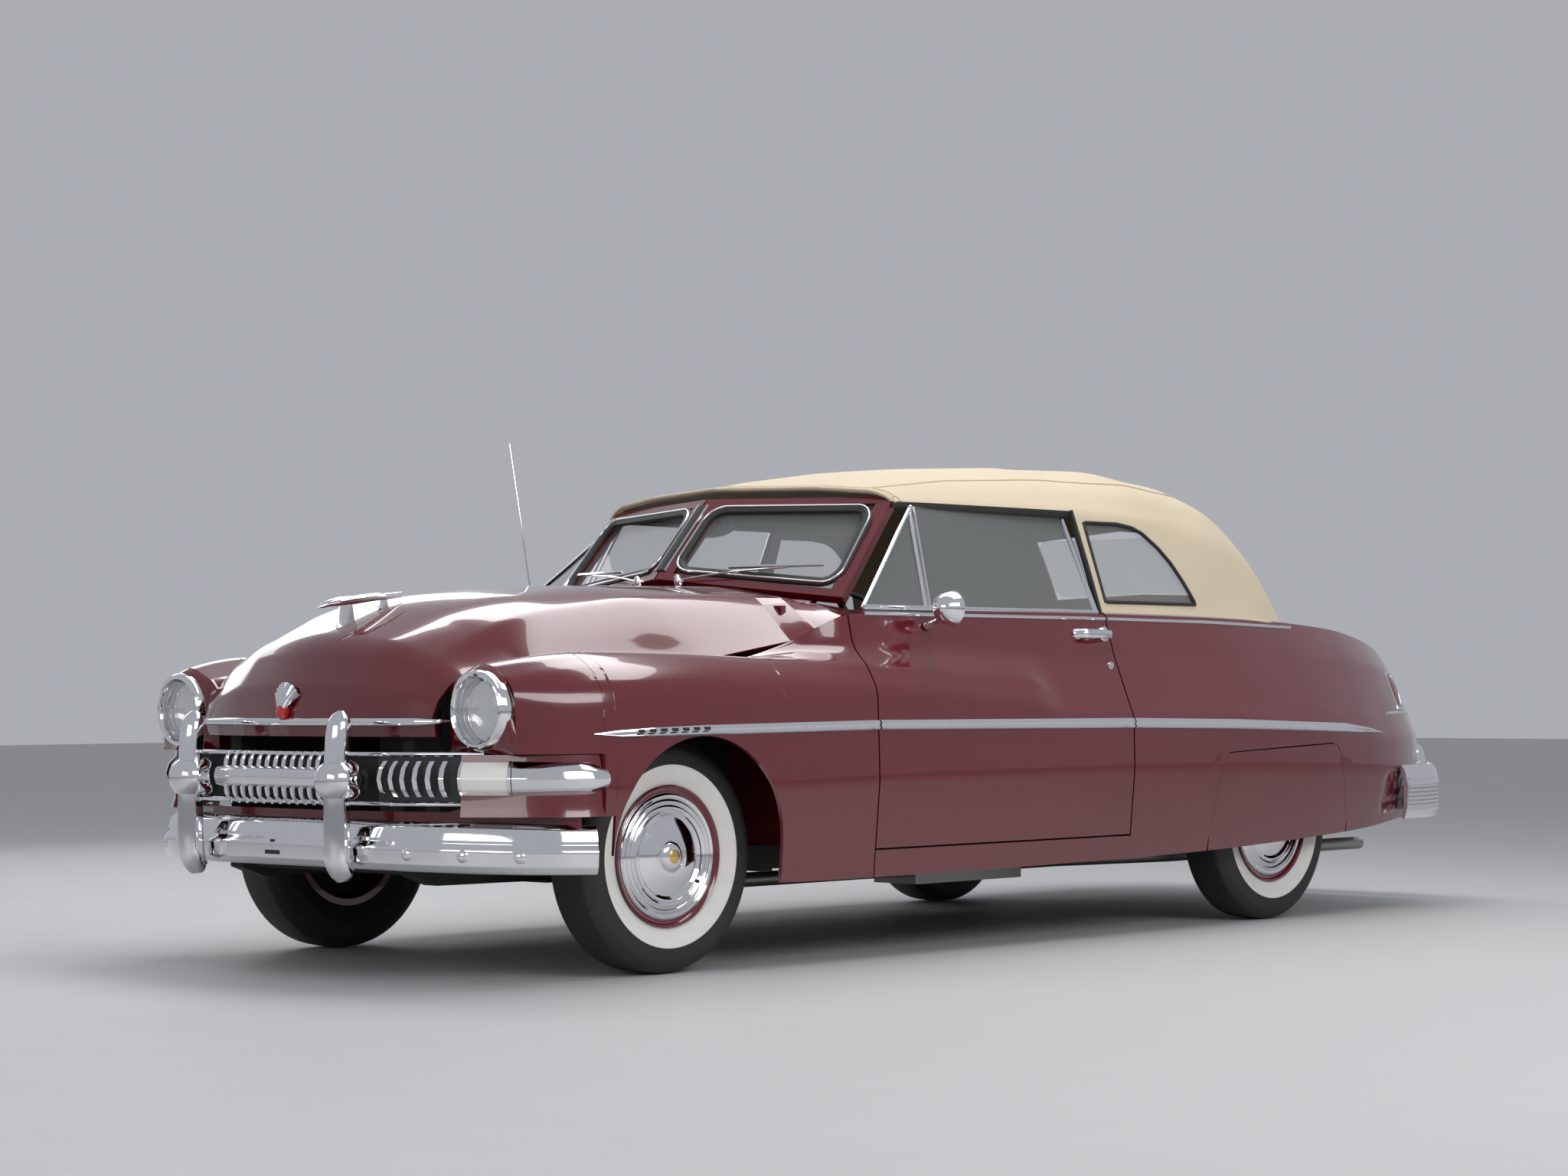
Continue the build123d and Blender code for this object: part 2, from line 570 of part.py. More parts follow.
# wheels
tyre_profile = [(-62, bead_radius), (-66, 214), (-88, 250), (-88, 300), (-66, tyre_radius - 6), (-40, tyre_radius),
                (40, tyre_radius), (66, tyre_radius - 6), (88, 300), (88, 250), (66, 214), (62, bead_radius)]
rim_profile = [(-72, 186), (-72, 207), (-63, bead_radius), (63, bead_radius), (72, 208), (76, 204), (62, 170), (70, 150),
               (62, 120), (76, 90), (86, 50), (92, 14)]
cavity_profile = [(-74, 186), (-60, 182), (20, 176), (20, 90), (-30, 60)]
tyre_sides, rim_sides = 32, 32
tyre = turned_x(tyre_profile, 0, 0, 0, tyre_sides) - turned_x([(-70, bead_radius), (70, bead_radius)], 0, 0, 0, tyre_sides)
rim = turned_x(rim_profile, 0, 0, 0, rim_sides) - turned_x(cavity_profile, 0, 0, 0, rim_sides)
tyre = Pos(0, -front_axle_y, 0) * tyre
rim = Pos(0, -front_axle_y, 0) * rim
rim = rim - Pos(5, 0, 0) * Rot(0, 90, 0) * Cylinder(26, 72)
wheel_places = [
    ("front_left", track_front / 2, 0.0, 1),
    ("front_right", -track_front / 2, 0.0, -1),
    ("rear_left", track_rear / 2, rear_axle_s, 1),
    ("rear_right", -track_rear / 2, rear_axle_s, -1),
]
for name, x, s, side in wheel_places:
    place = Pos(x, y_of(s), wheel_centre_z)
    save(place * (tyre if side > 0 else mirrored(tyre)), "tyre_" + name)
    save(place * (rim if side > 0 else mirrored(rim)), "wheel_" + name)

# steering knuckles
upright = Pos(kingpin_x, y_of(0), wheel_centre_z) * Cylinder(20, 190)
spindle = cyl_x(kingpin_x, track_front / 2 + 30, 0, wheel_centre_z, 25.4)
steer_arm = block(664, 690, 0, 150, wheel_centre_z - 46, wheel_centre_z - 28)
knuckle = upright + spindle + steer_arm
save(knuckle, "knuckle_left")
save(mirrored(knuckle), "knuckle_right")

# chassis frame with front arms
rail_points = [(-640, 300), (-560, 270), (2450, 250), (2700, 430), (3300, 430), (3500, 330), (3980, 330), (3980, 400),
               (3520, 400), (3330, 520), (2670, 520), (2420, 330), (-560, 345), (-640, 345)]
rail = prism_x(rail_points, 380, 440)
cross_places = [(-600, -540, 300, 345), (-90, 90, 255, 320), (820, 880, 250, 322), (2360, 2420, 255, 320),
                (3560, 3620, 340, 400), (3900, 3960, 340, 400)]
chassis = rail + mirrored(rail)
for s0, s1, z0, z1 in cross_places:
    chassis = chassis + block(-385, 385, s0, s1, z0, z1)
for side in (1, -1):
    leg = Pos(0, y_of(1500), 295) * Rot(0, 0, 27 * side) * Box(60, 1500, 60)
    chassis = chassis + (leg & block(-400, 400, 700, 2300, 200, 400))
arm_low = [(440, -130), (440, 130), (kingpin_x - 20.5, 34), (kingpin_x - 20.5, -34)]
for side in (1, -1):
    for z0, z1 in ((wheel_centre_z - 85, wheel_centre_z - 62), (wheel_centre_z + 62, wheel_centre_z + 80)):
        pts = [Vector(side * x, y_of(s), z0) for x, s in arm_low]
        arm = Solid.extrude(Face(Wire.make_polygon(pts, close=True)), Vector(0, 0, z1 - z0))
        chassis = chassis + arm
    chassis = chassis + block(side * 384, side * 446, -140, 140, 262, wheel_centre_z + 82)
    chassis = chassis + block(side * 190, side * 390, 20, 80, 400, 427)
    chassis = chassis + block(side * 385, side * 435, -640, -596, 340, 735)
    chassis = chassis + block(side * 440, side * 595, 2445, 2475, 300, 338)
    chassis = chassis + block(side * 440, side * 595, 3625, 3655, 340, 352)
    for s0, z0, z1 in ((760, 325, 352), (1560, 320, 352), (2300, 315, 352), (3000, 500, 534)):
        chassis = chassis + block(side * 385, side * 435, s0, s0 + 40, z0, z1)
save(chassis, "chassis_frame")

# rear axle with springs, engine, exhaust and tank
axle = cyl_x(-672, 672, rear_axle_s, wheel_centre_z, 38)
axle = axle + cyl_x(-track_rear / 2 - 30, track_rear / 2 + 30, rear_axle_s, wheel_centre_z, 25.4)
diff = turned_y([(rear_axle_s - 120, 90), (rear_axle_s - 90, 125), (rear_axle_s + 60, 130), (rear_axle_s + 100, 70)], 0,
                wheel_centre_z, 16)
rear_axle = axle + diff
for side in (1, -1):
    spring = prism_x([(2460, 345), (2700, 290), (2997, 275), (3300, 290), (3640, 360), (3640, 375), (3300, 312),
                      (2997, 318), (2700, 312), (2460, 360)], side * 540, side * 590)
    rear_axle = rear_axle + block(side * 545, side * 585, rear_axle_s - 30, rear_axle_s + 30, 300, 340)
    rear_axle = rear_axle + spring
    rear_axle = rear_axle + block(side * 545, side * 585, 2446, 2474, 338, 360)
    rear_axle = rear_axle + block(side * 545, side * 585, 3626, 3654, 352, 376)
save(rear_axle, "rear_axle")
save(cyl_y(0, 790, rear_axle_s - 120, wheel_centre_z + 20, 36), "driveshaft")
save(block(-190, 190, -260, 500, 400, 900) + block(-90, 90, 480, 790, 300, 402), "engine")
exhaust = block(235, 265, 2375, 2405, 225, 255) + cyl_y(250, 640, 2500, 215, 24) + (Pos(250, y_of(1900), 215) * Box(190, 560, 90))
exhaust = exhaust + rod((250, 2490, 215), (480, 2860, 225), 24) + rod((480, 2850, 225), (480, 4090, 225), 24)
save(exhaust, "exhaust")
save(block(-360, 360, 3606, 3914, 210, 340), "fuel_tank")

# floor with tunnel and trunk floor
floor_main = block(-690, 690, 620, 2430, 352, 364) - block(-100, 100, 600, 2500, 340, 380)
floor_rear = block(-530, 530, 2420, 3990, 534, 546)
floor_step = block(-530, 530, 2418, 2430, 352, 546) - block(-60, 60, 2400, 2500, 300, 420)
floor_edge = block(685, 700, 760, 2000, 352, 364)
tunnel = block(-108, 108, 620, 2425, 356, 416) - block(-100, 100, 600, 2500, 340, 408)
wheel_house = block(518, 530, 2600, 3400, 534, 800)
floor_pan = floor_main + floor_rear + floor_step + tunnel + wheel_house + mirrored(wheel_house)
apron = block(452, 460, -560, 600, 450, 780)
save(floor_pan, "floor_pan")
save(both(apron), "engine_bay_sides")

# interior
seat_front = prism_x([(1440, 424), (1440, 560), (1500, 590), (1900, 560), (2010, 960), (2060, 985), (2110, 960),
                      (2040, 424)], -690, 690)
for side in (1, -1):
    seat_front = seat_front + block(side * 560, side * 600, 1460, 2020, 364, 426)
save(seat_front, "front_seat")
seat_rear = prism_x([(2630, 546), (2630, 620), (2700, 650), (3000, 630), (3110, 960), (3145, 975), (3145, 546)],
                    -514, 514)
save(seat_rear, "rear_seat")
dash = prism_x([(905, 860), (905, 1060), (980, 1085), (1050, 1060), (1080, 1000), (1040, 900), (1000, 850)], -700, 700)
dash = dash + block(-60, 60, 620, 960, 950, 1000)
save(dash, "dashboard")
wheel_rim = ring_tube(210, 11, 24, 6)
spokes = Box(410, 26, 10) + Box(26, 205, 10, align=(Align.CENTER, Align.MAX, Align.CENTER)) + Cylinder(38, 30)
steer = wheel_rim + spokes
steer = Pos(360, y_of(1330), 985) * Rot(-55, 0, 0) * steer
column = rod((360, 1318, 977), (360, 600, 482), 20) - block(300, 420, 500, 620, 400, 700)
save(steer + column, "steering_wheel")

# side glass
door_glass_front, door_glass_rear = 852.0, 1985.0
glass_pts = [(843, 812, 1058), (848, door_glass_rear, 1058), (684, door_glass_rear, 1424), (666, 1230, 1424)]


def leaning_pane(pts, thick):
    base = [Vector(x, y_of(s), z) for x, s, z in pts]
    normal = (base[1] - base[0]).cross(base[3] - base[0]).normalized()
    third = base[2] - normal * (base[2] - base[0]).dot(normal)
    face = Face(Wire.make_polygon([base[0], base[1], third, base[3]], close=True))
    return Solid.extrude(face, normal * thick)


door_glass = leaning_pane(glass_pts, 6) - door
door_glass = door_glass.solids().sort_by(SortBy.VOLUME)[-1]
save(door_glass, "door_glass_left")
save(mirrored(door_glass), "door_glass_right")

# front bumper, guards and grille
bumper_path = [
    # x, s of the face
    (0, -806), (250, -800), (450, -772), (640, -712), (790, -622), (900, -500), (950, -410),
]
# outward and Z of the bumper section
bumper_section = [(-34, 330), (-6, 322), (8, 350), (10, 392), (0, 408), (-2, 420), (-10, 452), (-34, 468), (-44, 460),
                  (-22, 446), (-12, 400), (-8, 350), (-34, 340)]


def along(path, i):
    a = path[max(0, i - 1)]
    b = path[min(len(path) - 1, i + 1)]
    if i == 0:
        a = (-path[1][0], path[1][1])
    dx, ds = b[0] - a[0], b[1] - a[1]
    n = math.hypot(dx, ds)
    return ds / n, -dx / n


def path_loft(path, section, rise=0.0, ruled=False):
    wires = []
    for i, (x, s) in enumerate(path):
        nx, ns = along(path, i)
        lift = rise * i / (len(path) - 1)
        pts = [Vector(x + nx * o, y_of(s + ns * o), z + lift) for o, z in section]
        wires.append(Wire.make_polygon(pts, close=True))
    return Solid.make_loft(wires, ruled)


def finer_path(path, count):
    run = [0.0]
    for a, b in zip(path, path[1:]):
        run.append(run[-1] + math.hypot(b[0] - a[0], b[1] - a[1]))
    return [(interp(run, [p[0] for p in path], run[-1] * k / count), interp(run, [p[1] for p in path], run[-1] * k / count))
            for k in range(count + 1)]


bumper_half = path_loft(finer_path(bumper_path, 10), bumper_section, -14, True)
front_bumper = bumper_half + mirrored(bumper_half)
for x in (-90, 90):
    front_bumper = front_bumper - cyl_y(x, -900, -760, 392, 3.5)
guard_profile = [(300, -812, 22), (318, -832, 34), (360, -850, 38), (500, -852, 37), (640, -850, 36), (700, -846, 38),
                 (740, -840, 36), (762, -832, 16)]
guard = turned_z(guard_profile, guard_x, 12)
bulb = turned_y([(-915, 10), (-906, 34), (-888, 53), (-858, 63), (-820, 60), (-772, 44)], guard_x, grille_z - 4, 12)
bracket = block(330, 436, -800, -640, 302, 343)
guards = guard + bulb + bracket
front_bumper = front_bumper + guards + mirrored(guards)
save(front_bumper, "front_bumper")

bar_path = [(0, -800), (150, -798), (278, -794)]
bar_section = [(0, 552), (22, 562), (30, 582), (22, 602), (0, 612), (-24, 602), (-30, 582), (-24, 562)]
bar_half = path_loft(bar_path, bar_section, 0, True)
grille = bar_half + mirrored(bar_half)
tooth_places = [-260 + tooth_pitch * i for i in range(14)]
tooth_section = [(-768, 500), (-784, 528), (-792, 582), (-784, 636), (-764, 660), (-752, 656), (-770, 630), (-774, 582),
                 (-770, 534), (-752, 504)]
for x in tooth_places:
    grille = grille + prism_x(tooth_section, x - 6, x + 6)
outer_pieces = [bullet, outer_back]
for i in range(6):
    outer_pieces.append(outer_run(446 + 38 * i, 462 + 38 * i, 0))
outer_pieces.append(block(400, 430, -790, -640, 574, 592))
frame_path = [(0, -764), (250, -758), (430, -738), (560, -690), (640, -640)]
for z0, z1 in ((504, 520), (644, 658)):
    outer_pieces.append(path_loft(frame_path, [(6, z0), (6, z1), (-20, z1), (-20, z0)], 0, True))
for piece in outer_pieces:
    grille = grille + piece + mirrored(piece)
guard_room = block(guard_x - 70, guard_x + 70, -960, -764, 440, 680)
grille = grille - guard_room - mirrored(guard_room)
grille = grille.solids().sort_by(SortBy.VOLUME)[-1]
save(grille, "grille")

# painted panel between the hood lip and the grille, and the one below it
header_path = [(0, -752), (250, -728), (430, -688), (540, -648)]
header_half = path_loft(header_path, [(0, 700), (6, 738), (-20, 738), (-24, 700)], 0, True)
header_half = header_half + block(390, 430, -690, -640, 705, 733)
apron_rows = [(0, -748, 488), (250, -742, 488), (430, -710, 488), (590, -638, 488), (660, -600, 512), (780, -520, 514),
              (915, -445, 514)]
apron_wires = []
for x, s, z_top in apron_rows:
    apron_wires.append(Wire.make_polygon([Vector(x, y_of(s), 372), Vector(x, y_of(s), z_top), Vector(x, y_of(s + 12), z_top),
                                          Vector(x, y_of(s + 12), 372)], close=True))
apron_half = Solid.make_loft(apron_wires, True) - fender - front_bumper
apron_half = apron_half.solids().sort_by(SortBy.VOLUME)[-1]
save(group(header_half + mirrored(header_half), apron_half + mirrored(apron_half)), "front_valance")

# lamps
headlamp = turned_y([(lamp_front_s, lamp_radius - 8), (lamp_front_s + 10, lamp_radius - 1), (lamp_front_s + 70, lamp_radius - 1)],
                    lamp_x, lamp_z, 28)
headlamp = headlamp - turned_y([(lamp_front_s - 1, lens_radius), (lamp_front_s + 40, lens_radius)], lamp_x, lamp_z, 28)
save(both(headlamp), "headlamp_bezels")
lens = turned_y([(lamp_front_s + 8, 40), (lamp_front_s + 14, 74), (lamp_front_s + 20, lens_radius),
                 (lamp_front_s + 36, lens_radius)], lamp_x, lamp_z, 28)
parking = outer_run(692, 816, -1) - outer_back
parking = parking.solids().sort_by(SortBy.VOLUME)[-1]
save(group(lens, mirrored(lens), parking, mirrored(parking)), "front_lamp_lenses")
tail_lamp = side_band(3840, 4010, 0, -30) & block(600, 1000, 3860, 3992, 752, 888)
save(both(tail_lamp), "tail_lamps")

# rear bumper
rear_path = [(0, 4330), (300, 4326), (520, 4296), (700, 4222), (838, 4085), (920, 3900), (946, 3700)]
rear_section = [(-18, 350), (-4, 336), (8, 380), (10, 470), (0, 520), (-18, 545), (-26, 536), (-12, 512), (-6, 470),
                (-8, 384), (-22, 362)]
rear_half = path_loft(finer_path(rear_path, 10), [(-o, z) for o, z in rear_section], 0, True)
rear_guard = turned_z([(330, 4262, 26), (400, 4282, 38), (540, 4284, 38), (590, 4276, 30), (612, 4266, 14)], 620, 12)
rear_bracket = block(385, 435, 3980, 4312, 338, 374)
rear_bumper = rear_half + mirrored(rear_half) + rear_guard + mirrored(rear_guard)
rear_bumper = rear_bumper + rear_bracket + mirrored(rear_bracket)
save(rear_bumper, "rear_bumper")

# door mirror
mirror_foot = Solid.make_loft([
    Wire.make_polygon([Vector(x, y_of(s + ds), z + dz) for ds, dz in ((-w, -h), (w, -h), (w * 0.6, h), (-w * 0.6, h))],
                      close=True)
    for x, s, z, w, h in ((850, 1090, 1020, 34, 26), (905, 1084, 1034, 16, 14), (950, 1076, 1062, 9, 9))], True)
mirror_head = turned_y([(1040, 14), (1046, 34), (1060, 50), (1080, 57), (1096, 57), (1098, 52)], 960, 1085, 16)
mirror = (mirror_foot + mirror_head - door).solids().sort_by(SortBy.VOLUME)[-1]
save(mirror, "door_mirror")
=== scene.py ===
import math
import bpy
import bmesh
import numpy as np
from mathutils import Matrix, Vector


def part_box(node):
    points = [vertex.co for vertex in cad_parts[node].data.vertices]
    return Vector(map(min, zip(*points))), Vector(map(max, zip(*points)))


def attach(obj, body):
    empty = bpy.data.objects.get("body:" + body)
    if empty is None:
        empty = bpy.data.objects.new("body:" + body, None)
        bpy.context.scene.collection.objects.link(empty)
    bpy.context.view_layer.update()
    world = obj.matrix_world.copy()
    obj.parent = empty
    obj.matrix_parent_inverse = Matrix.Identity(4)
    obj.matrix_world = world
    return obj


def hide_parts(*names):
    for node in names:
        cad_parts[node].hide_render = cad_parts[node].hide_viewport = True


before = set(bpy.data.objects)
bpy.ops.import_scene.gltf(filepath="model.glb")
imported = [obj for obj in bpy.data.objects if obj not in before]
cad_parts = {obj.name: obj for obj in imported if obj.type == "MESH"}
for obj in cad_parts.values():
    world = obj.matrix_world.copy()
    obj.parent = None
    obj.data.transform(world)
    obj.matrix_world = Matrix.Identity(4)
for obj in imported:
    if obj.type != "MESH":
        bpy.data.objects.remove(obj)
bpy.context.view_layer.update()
scene = bpy.context.scene
scene.view_settings.view_transform = "Standard"
print("stage: frame loaded")

# camera, floor and lights
view = {"spot": (7.4581, -8.1383, 0.8153), "yaw": 43.844, "roll": -0.253, "lens": 72.645, "shiftY": 0.068}
camera = bpy.data.objects.new("camera", bpy.data.cameras.new("camera"))
scene.collection.objects.link(camera)
camera.data.lens, camera.data.shift_y, camera.data.sensor_fit = view["lens"], view["shiftY"], "HORIZONTAL"
camera.data.clip_end = 200
camera.matrix_world = (Matrix.Translation(view["spot"]) @ Matrix.Rotation(math.radians(view["yaw"]), 4, "Z")
                       @ Matrix.Rotation(math.radians(90), 4, "X")
                       @ Matrix.Rotation(math.radians(view["roll"]), 4, "Z"))
scene.camera = camera


class Wire:
    # a shader socket with arithmetic
    def __init__(self, graph, socket):
        self.graph, self.socket = graph, socket

    def math(self, operation, *others):
        node = self.graph.node("ShaderNodeMath", operation=operation)
        for i, value in enumerate((self,) + others):
            self.graph.put(node.inputs[i], value)
        return Wire(self.graph, node.outputs[0])

    def __add__(self, other): return self.math("ADD", other)
    def __sub__(self, other): return self.math("SUBTRACT", other)
    def __mul__(self, other): return self.math("MULTIPLY", other)
    def over(self, other): return self.math("GREATER_THAN", other)
    def under(self, other): return self.math("LESS_THAN", other)


class Graph:
    def __init__(self, name, **values):
        self.mat = bpy.data.materials.new(name)
        self.mat.use_nodes = True
        self.tree = self.mat.node_tree
        self.tree.nodes.clear()
        out = self.node("ShaderNodeOutputMaterial")
        self.shader = self.node("ShaderNodeBsdfPrincipled")
        self.tree.links.new(self.shader.outputs[0], out.inputs[0])
        self.set(**values)

    def node(self, kind, inputs=None, **attributes):
        node = self.tree.nodes.new(kind)
        for key, value in attributes.items():
            setattr(node, key, value)
        for key, value in (inputs or {}).items():
            self.put(node.inputs[key], value)
        return node

    def put(self, socket, value):
        if isinstance(value, Wire):
            self.tree.links.new(value.socket, socket)
        else:
            socket.default_value = value

    def set(self, **values):
        for key, value in values.items():
            self.put(self.shader.inputs[key.replace("_", " ")], value)

    def place(self):
        node = self.node("ShaderNodeTexCoord")
        split = self.node("ShaderNodeSeparateXYZ")
        self.tree.links.new(node.outputs["Object"], split.inputs[0])
        return Wire(self, node.outputs["Object"]), [Wire(self, o) for o in split.outputs]

    def noise(self, where, scale, detail=2.0, rough=0.5):
        node = self.node("ShaderNodeTexNoise",
                         {"Vector": where, "Scale": scale, "Detail": detail, "Roughness": rough})
        return Wire(self, node.outputs["Fac"])

    def mix(self, share, a, b):
        node = self.node("ShaderNodeMix", data_type="RGBA")
        for index, value in ((0, share), (6, a), (7, b)):
            self.put(node.inputs[index], value)
        return Wire(self, node.outputs[2])

    def bump(self, height, strength, depth=0.001):
        node = self.node("ShaderNodeBump", {"Height": height, "Strength": strength, "Distance": depth})
        self.set(Normal=Wire(self, node.outputs[0]))


def tone(r, g, b):
    return (r, g, b, 1.0)


def coated(name, colour, other, rough, coat=1.0, metallic=0.0, grain=900.0, depth=0.00002):
    g = Graph(name, Metallic=metallic, Coat_Weight=coat, Coat_Roughness=0.03)
    where, _ = g.place()
    cloud = g.noise(where, 2.2, 3)
    g.set(Base_Color=g.mix(cloud, tone(*colour), tone(*other)), Roughness=cloud * 0.08 + rough)
    g.bump(g.noise(where, grain), 0.15, depth)
    return g.mat


def metal(name, colour, rough, streak=40.0):
    g = Graph(name, Metallic=1.0)
    where, _ = g.place()
    cloud = g.noise(where, streak, 4)
    g.set(Base_Color=g.mix(cloud, tone(*colour), tone(*[c * 0.93 for c in colour])),
          Roughness=cloud * 0.05 + rough)
    return g.mat


def dull(name, colour, other, rough, scale=60.0, depth=0.0006):
    g = Graph(name)
    where, _ = g.place()
    cloud = g.noise(where, scale, 5, 0.6)
    g.set(Base_Color=g.mix(cloud, tone(*colour), tone(*other)), Roughness=cloud * 0.15 + rough)
    g.bump(g.noise(where, scale * 6), 0.35, depth)
    return g.mat


looks = {
    "paint": coated("maroonPaint", (0.13, 0.004, 0.011), (0.105, 0.003, 0.009), 0.16),
    "dashPaint": coated("dashPaint", (0.16, 0.006, 0.014), (0.12, 0.005, 0.012), 0.3),
    "chrome": metal("chrome", (0.86, 0.86, 0.88), 0.035),
    "steel": metal("dullSteel", (0.36, 0.35, 0.34), 0.38),
    "iron": dull("castIron", (0.05, 0.05, 0.052), (0.09, 0.085, 0.08), 0.55),
    "under": dull("underBlack", (0.012, 0.012, 0.013), (0.03, 0.028, 0.026), 0.6),
    "rubber": dull("blackRubber", (0.012, 0.012, 0.012), (0.02, 0.02, 0.02), 0.5, 120),
    "vinyl": dull("blackVinyl", (0.018, 0.017, 0.017), (0.028, 0.026, 0.026), 0.42, 300, 0.0004),
    "carpet": dull("carpet", (0.03, 0.012, 0.014), (0.055, 0.02, 0.022), 0.9, 500, 0.002),
    "plastic": coated("blackPlastic", (0.012, 0.012, 0.012), (0.018, 0.018, 0.018), 0.2),
    "redLens": coated("redLens", (0.5, 0.008, 0.01), (0.42, 0.006, 0.008), 0.12),
    "whiteLens": coated("whiteLens", (0.82, 0.81, 0.77), (0.76, 0.75, 0.7), 0.2),
    "gold": metal("gold", (0.8, 0.55, 0.2), 0.2),
}


def clearGlass(name, colour, alpha):
    g = Graph(name, Roughness=0.02, Coat_Weight=1.0, Coat_Roughness=0.01, IOR=1.45)
    where, _ = g.place()
    film = g.noise(where, 1.5, 2)
    g.set(Base_Color=g.mix(film, tone(*colour), tone(*[c * 0.9 for c in colour])), Alpha=film * 0.02 + alpha)
    g.mat.surface_render_method = "BLENDED"
    return g.mat


looks["glass"] = clearGlass("clearGlass", (0.55, 0.6, 0.6), 0.13)
looks["lampGlass"] = clearGlass("lampGlass", (0.85, 0.88, 0.88), 0.25)

tyreLook = {"radius": 0.345, "whiteIn": 0.207, "whiteOut": 0.268, "blocks": 70.0}


def tyreMaterial(name, centreY):
    g = Graph(name)
    where, (x, y, z) = g.place()
    dy, dz = y - centreY, z - tyreLook["radius"]
    r = (dy * dy + dz * dz).math("SQRT")
    angle = dy.math("ARCTAN2", dz)
    grime = g.noise(where, 30, 4)
    rubber = g.mix(grime, tone(0.012, 0.012, 0.012), tone(0.024, 0.023, 0.022))
    white = g.mix(grime, tone(0.80, 0.79, 0.75), tone(0.70, 0.69, 0.65))
    outer = x.math("ABSOLUTE").over(0.76) if centreY < 0 else x.math("ABSOLUTE").over(0.78)
    band = r.over(tyreLook["whiteIn"]) * r.under(tyreLook["whiteOut"]) * outer
    g.set(Base_Color=g.mix(band, rubber, white), Roughness=grime * 0.15 + 0.5)
    tread = r.over(tyreLook["radius"] - 0.008)
    cut = (angle * tyreLook["blocks"]).math("SINE").over(0.72) + (x * 330.0).math("SINE").over(0.6)
    ribs = (r * 900.0).math("SINE") * 0.1 * (band * -1.0 + 1.0)
    g.bump(cut.math("MINIMUM", 1.0) * tread * -1.0 + ribs * (tread * -1.0 + 1.0), 1.0, 0.004)
    return g.mat


looks["tyreFront"] = tyreMaterial("tyreFront", -1.7125)
looks["tyreRear"] = tyreMaterial("tyreRear", 1.2845)

cloth = {"light": (0.66, 0.55, 0.39), "dark": (0.53, 0.435, 0.30), "weave": 900.0}


def canvasMaterial():
    g = Graph("canvas", Sheen_Weight=0.25, Sheen_Roughness=0.5)
    where, (x, y, z) = g.place()
    cloud = g.noise(where, 3.0, 4)
    speck = g.noise(where, 500, 2)
    weave = ((x + z) * cloth["weave"] * 6.0).math("SINE") * ((y + z) * cloth["weave"] * 6.0).math("SINE")
    g.set(Base_Color=g.mix(cloud * 0.6 + speck * 0.4, tone(*cloth["light"]), tone(*cloth["dark"])),
          Roughness=cloud * 0.1 + 0.8)
    g.bump(weave * 0.3 + speck, 0.5, 0.0006)
    return g.mat


looks["canvas"] = canvasMaterial()
looks["lining"] = dull("topLining", (0.03, 0.028, 0.026), (0.045, 0.042, 0.04), 0.9, 400)


def wear(obj, *names):
    obj.data.materials.clear()
    for name in names:
        obj.data.materials.append(looks[name])
    return obj


def smoothByAngle(obj, angle=30):
    obj.data.polygons.foreach_set("use_smooth", [True] * len(obj.data.polygons))
    mesh = bmesh.new()
    mesh.from_mesh(obj.data)
    limit = math.radians(angle)
    for e in mesh.edges:
        e.smooth = not (len(e.link_faces) == 2 and e.calc_face_angle(0.0) > limit)
    mesh.to_mesh(obj.data)
    mesh.free()
    return obj


def finished(name, bm, looksWorn, body, replaces=(), slot=None, angle=30):
    # turns a bmesh into a piece that rides on its body
    bmesh.ops.recalc_face_normals(bm, faces=bm.faces)
    mesh = bpy.data.meshes.new(name)
    bm.to_mesh(mesh)
    bm.free()
    obj = bpy.data.objects.new(name, mesh)
    scene.collection.objects.link(obj)
    smoothByAngle(wear(obj, *looksWorn), angle)
    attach(obj, body)
    if replaces:
        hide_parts(*replaces)
    return obj


def made(name, points, faces, look, body, **extra):
    mesh = bpy.data.meshes.new("raw")
    mesh.from_pydata([tuple(p) for p in points], [], faces)
    bm = bmesh.new()
    bm.from_mesh(mesh)
    bpy.data.meshes.remove(mesh)
    bmesh.ops.remove_doubles(bm, verts=bm.verts, dist=1e-6)
    return finished(name, bm, [look], body, **extra)


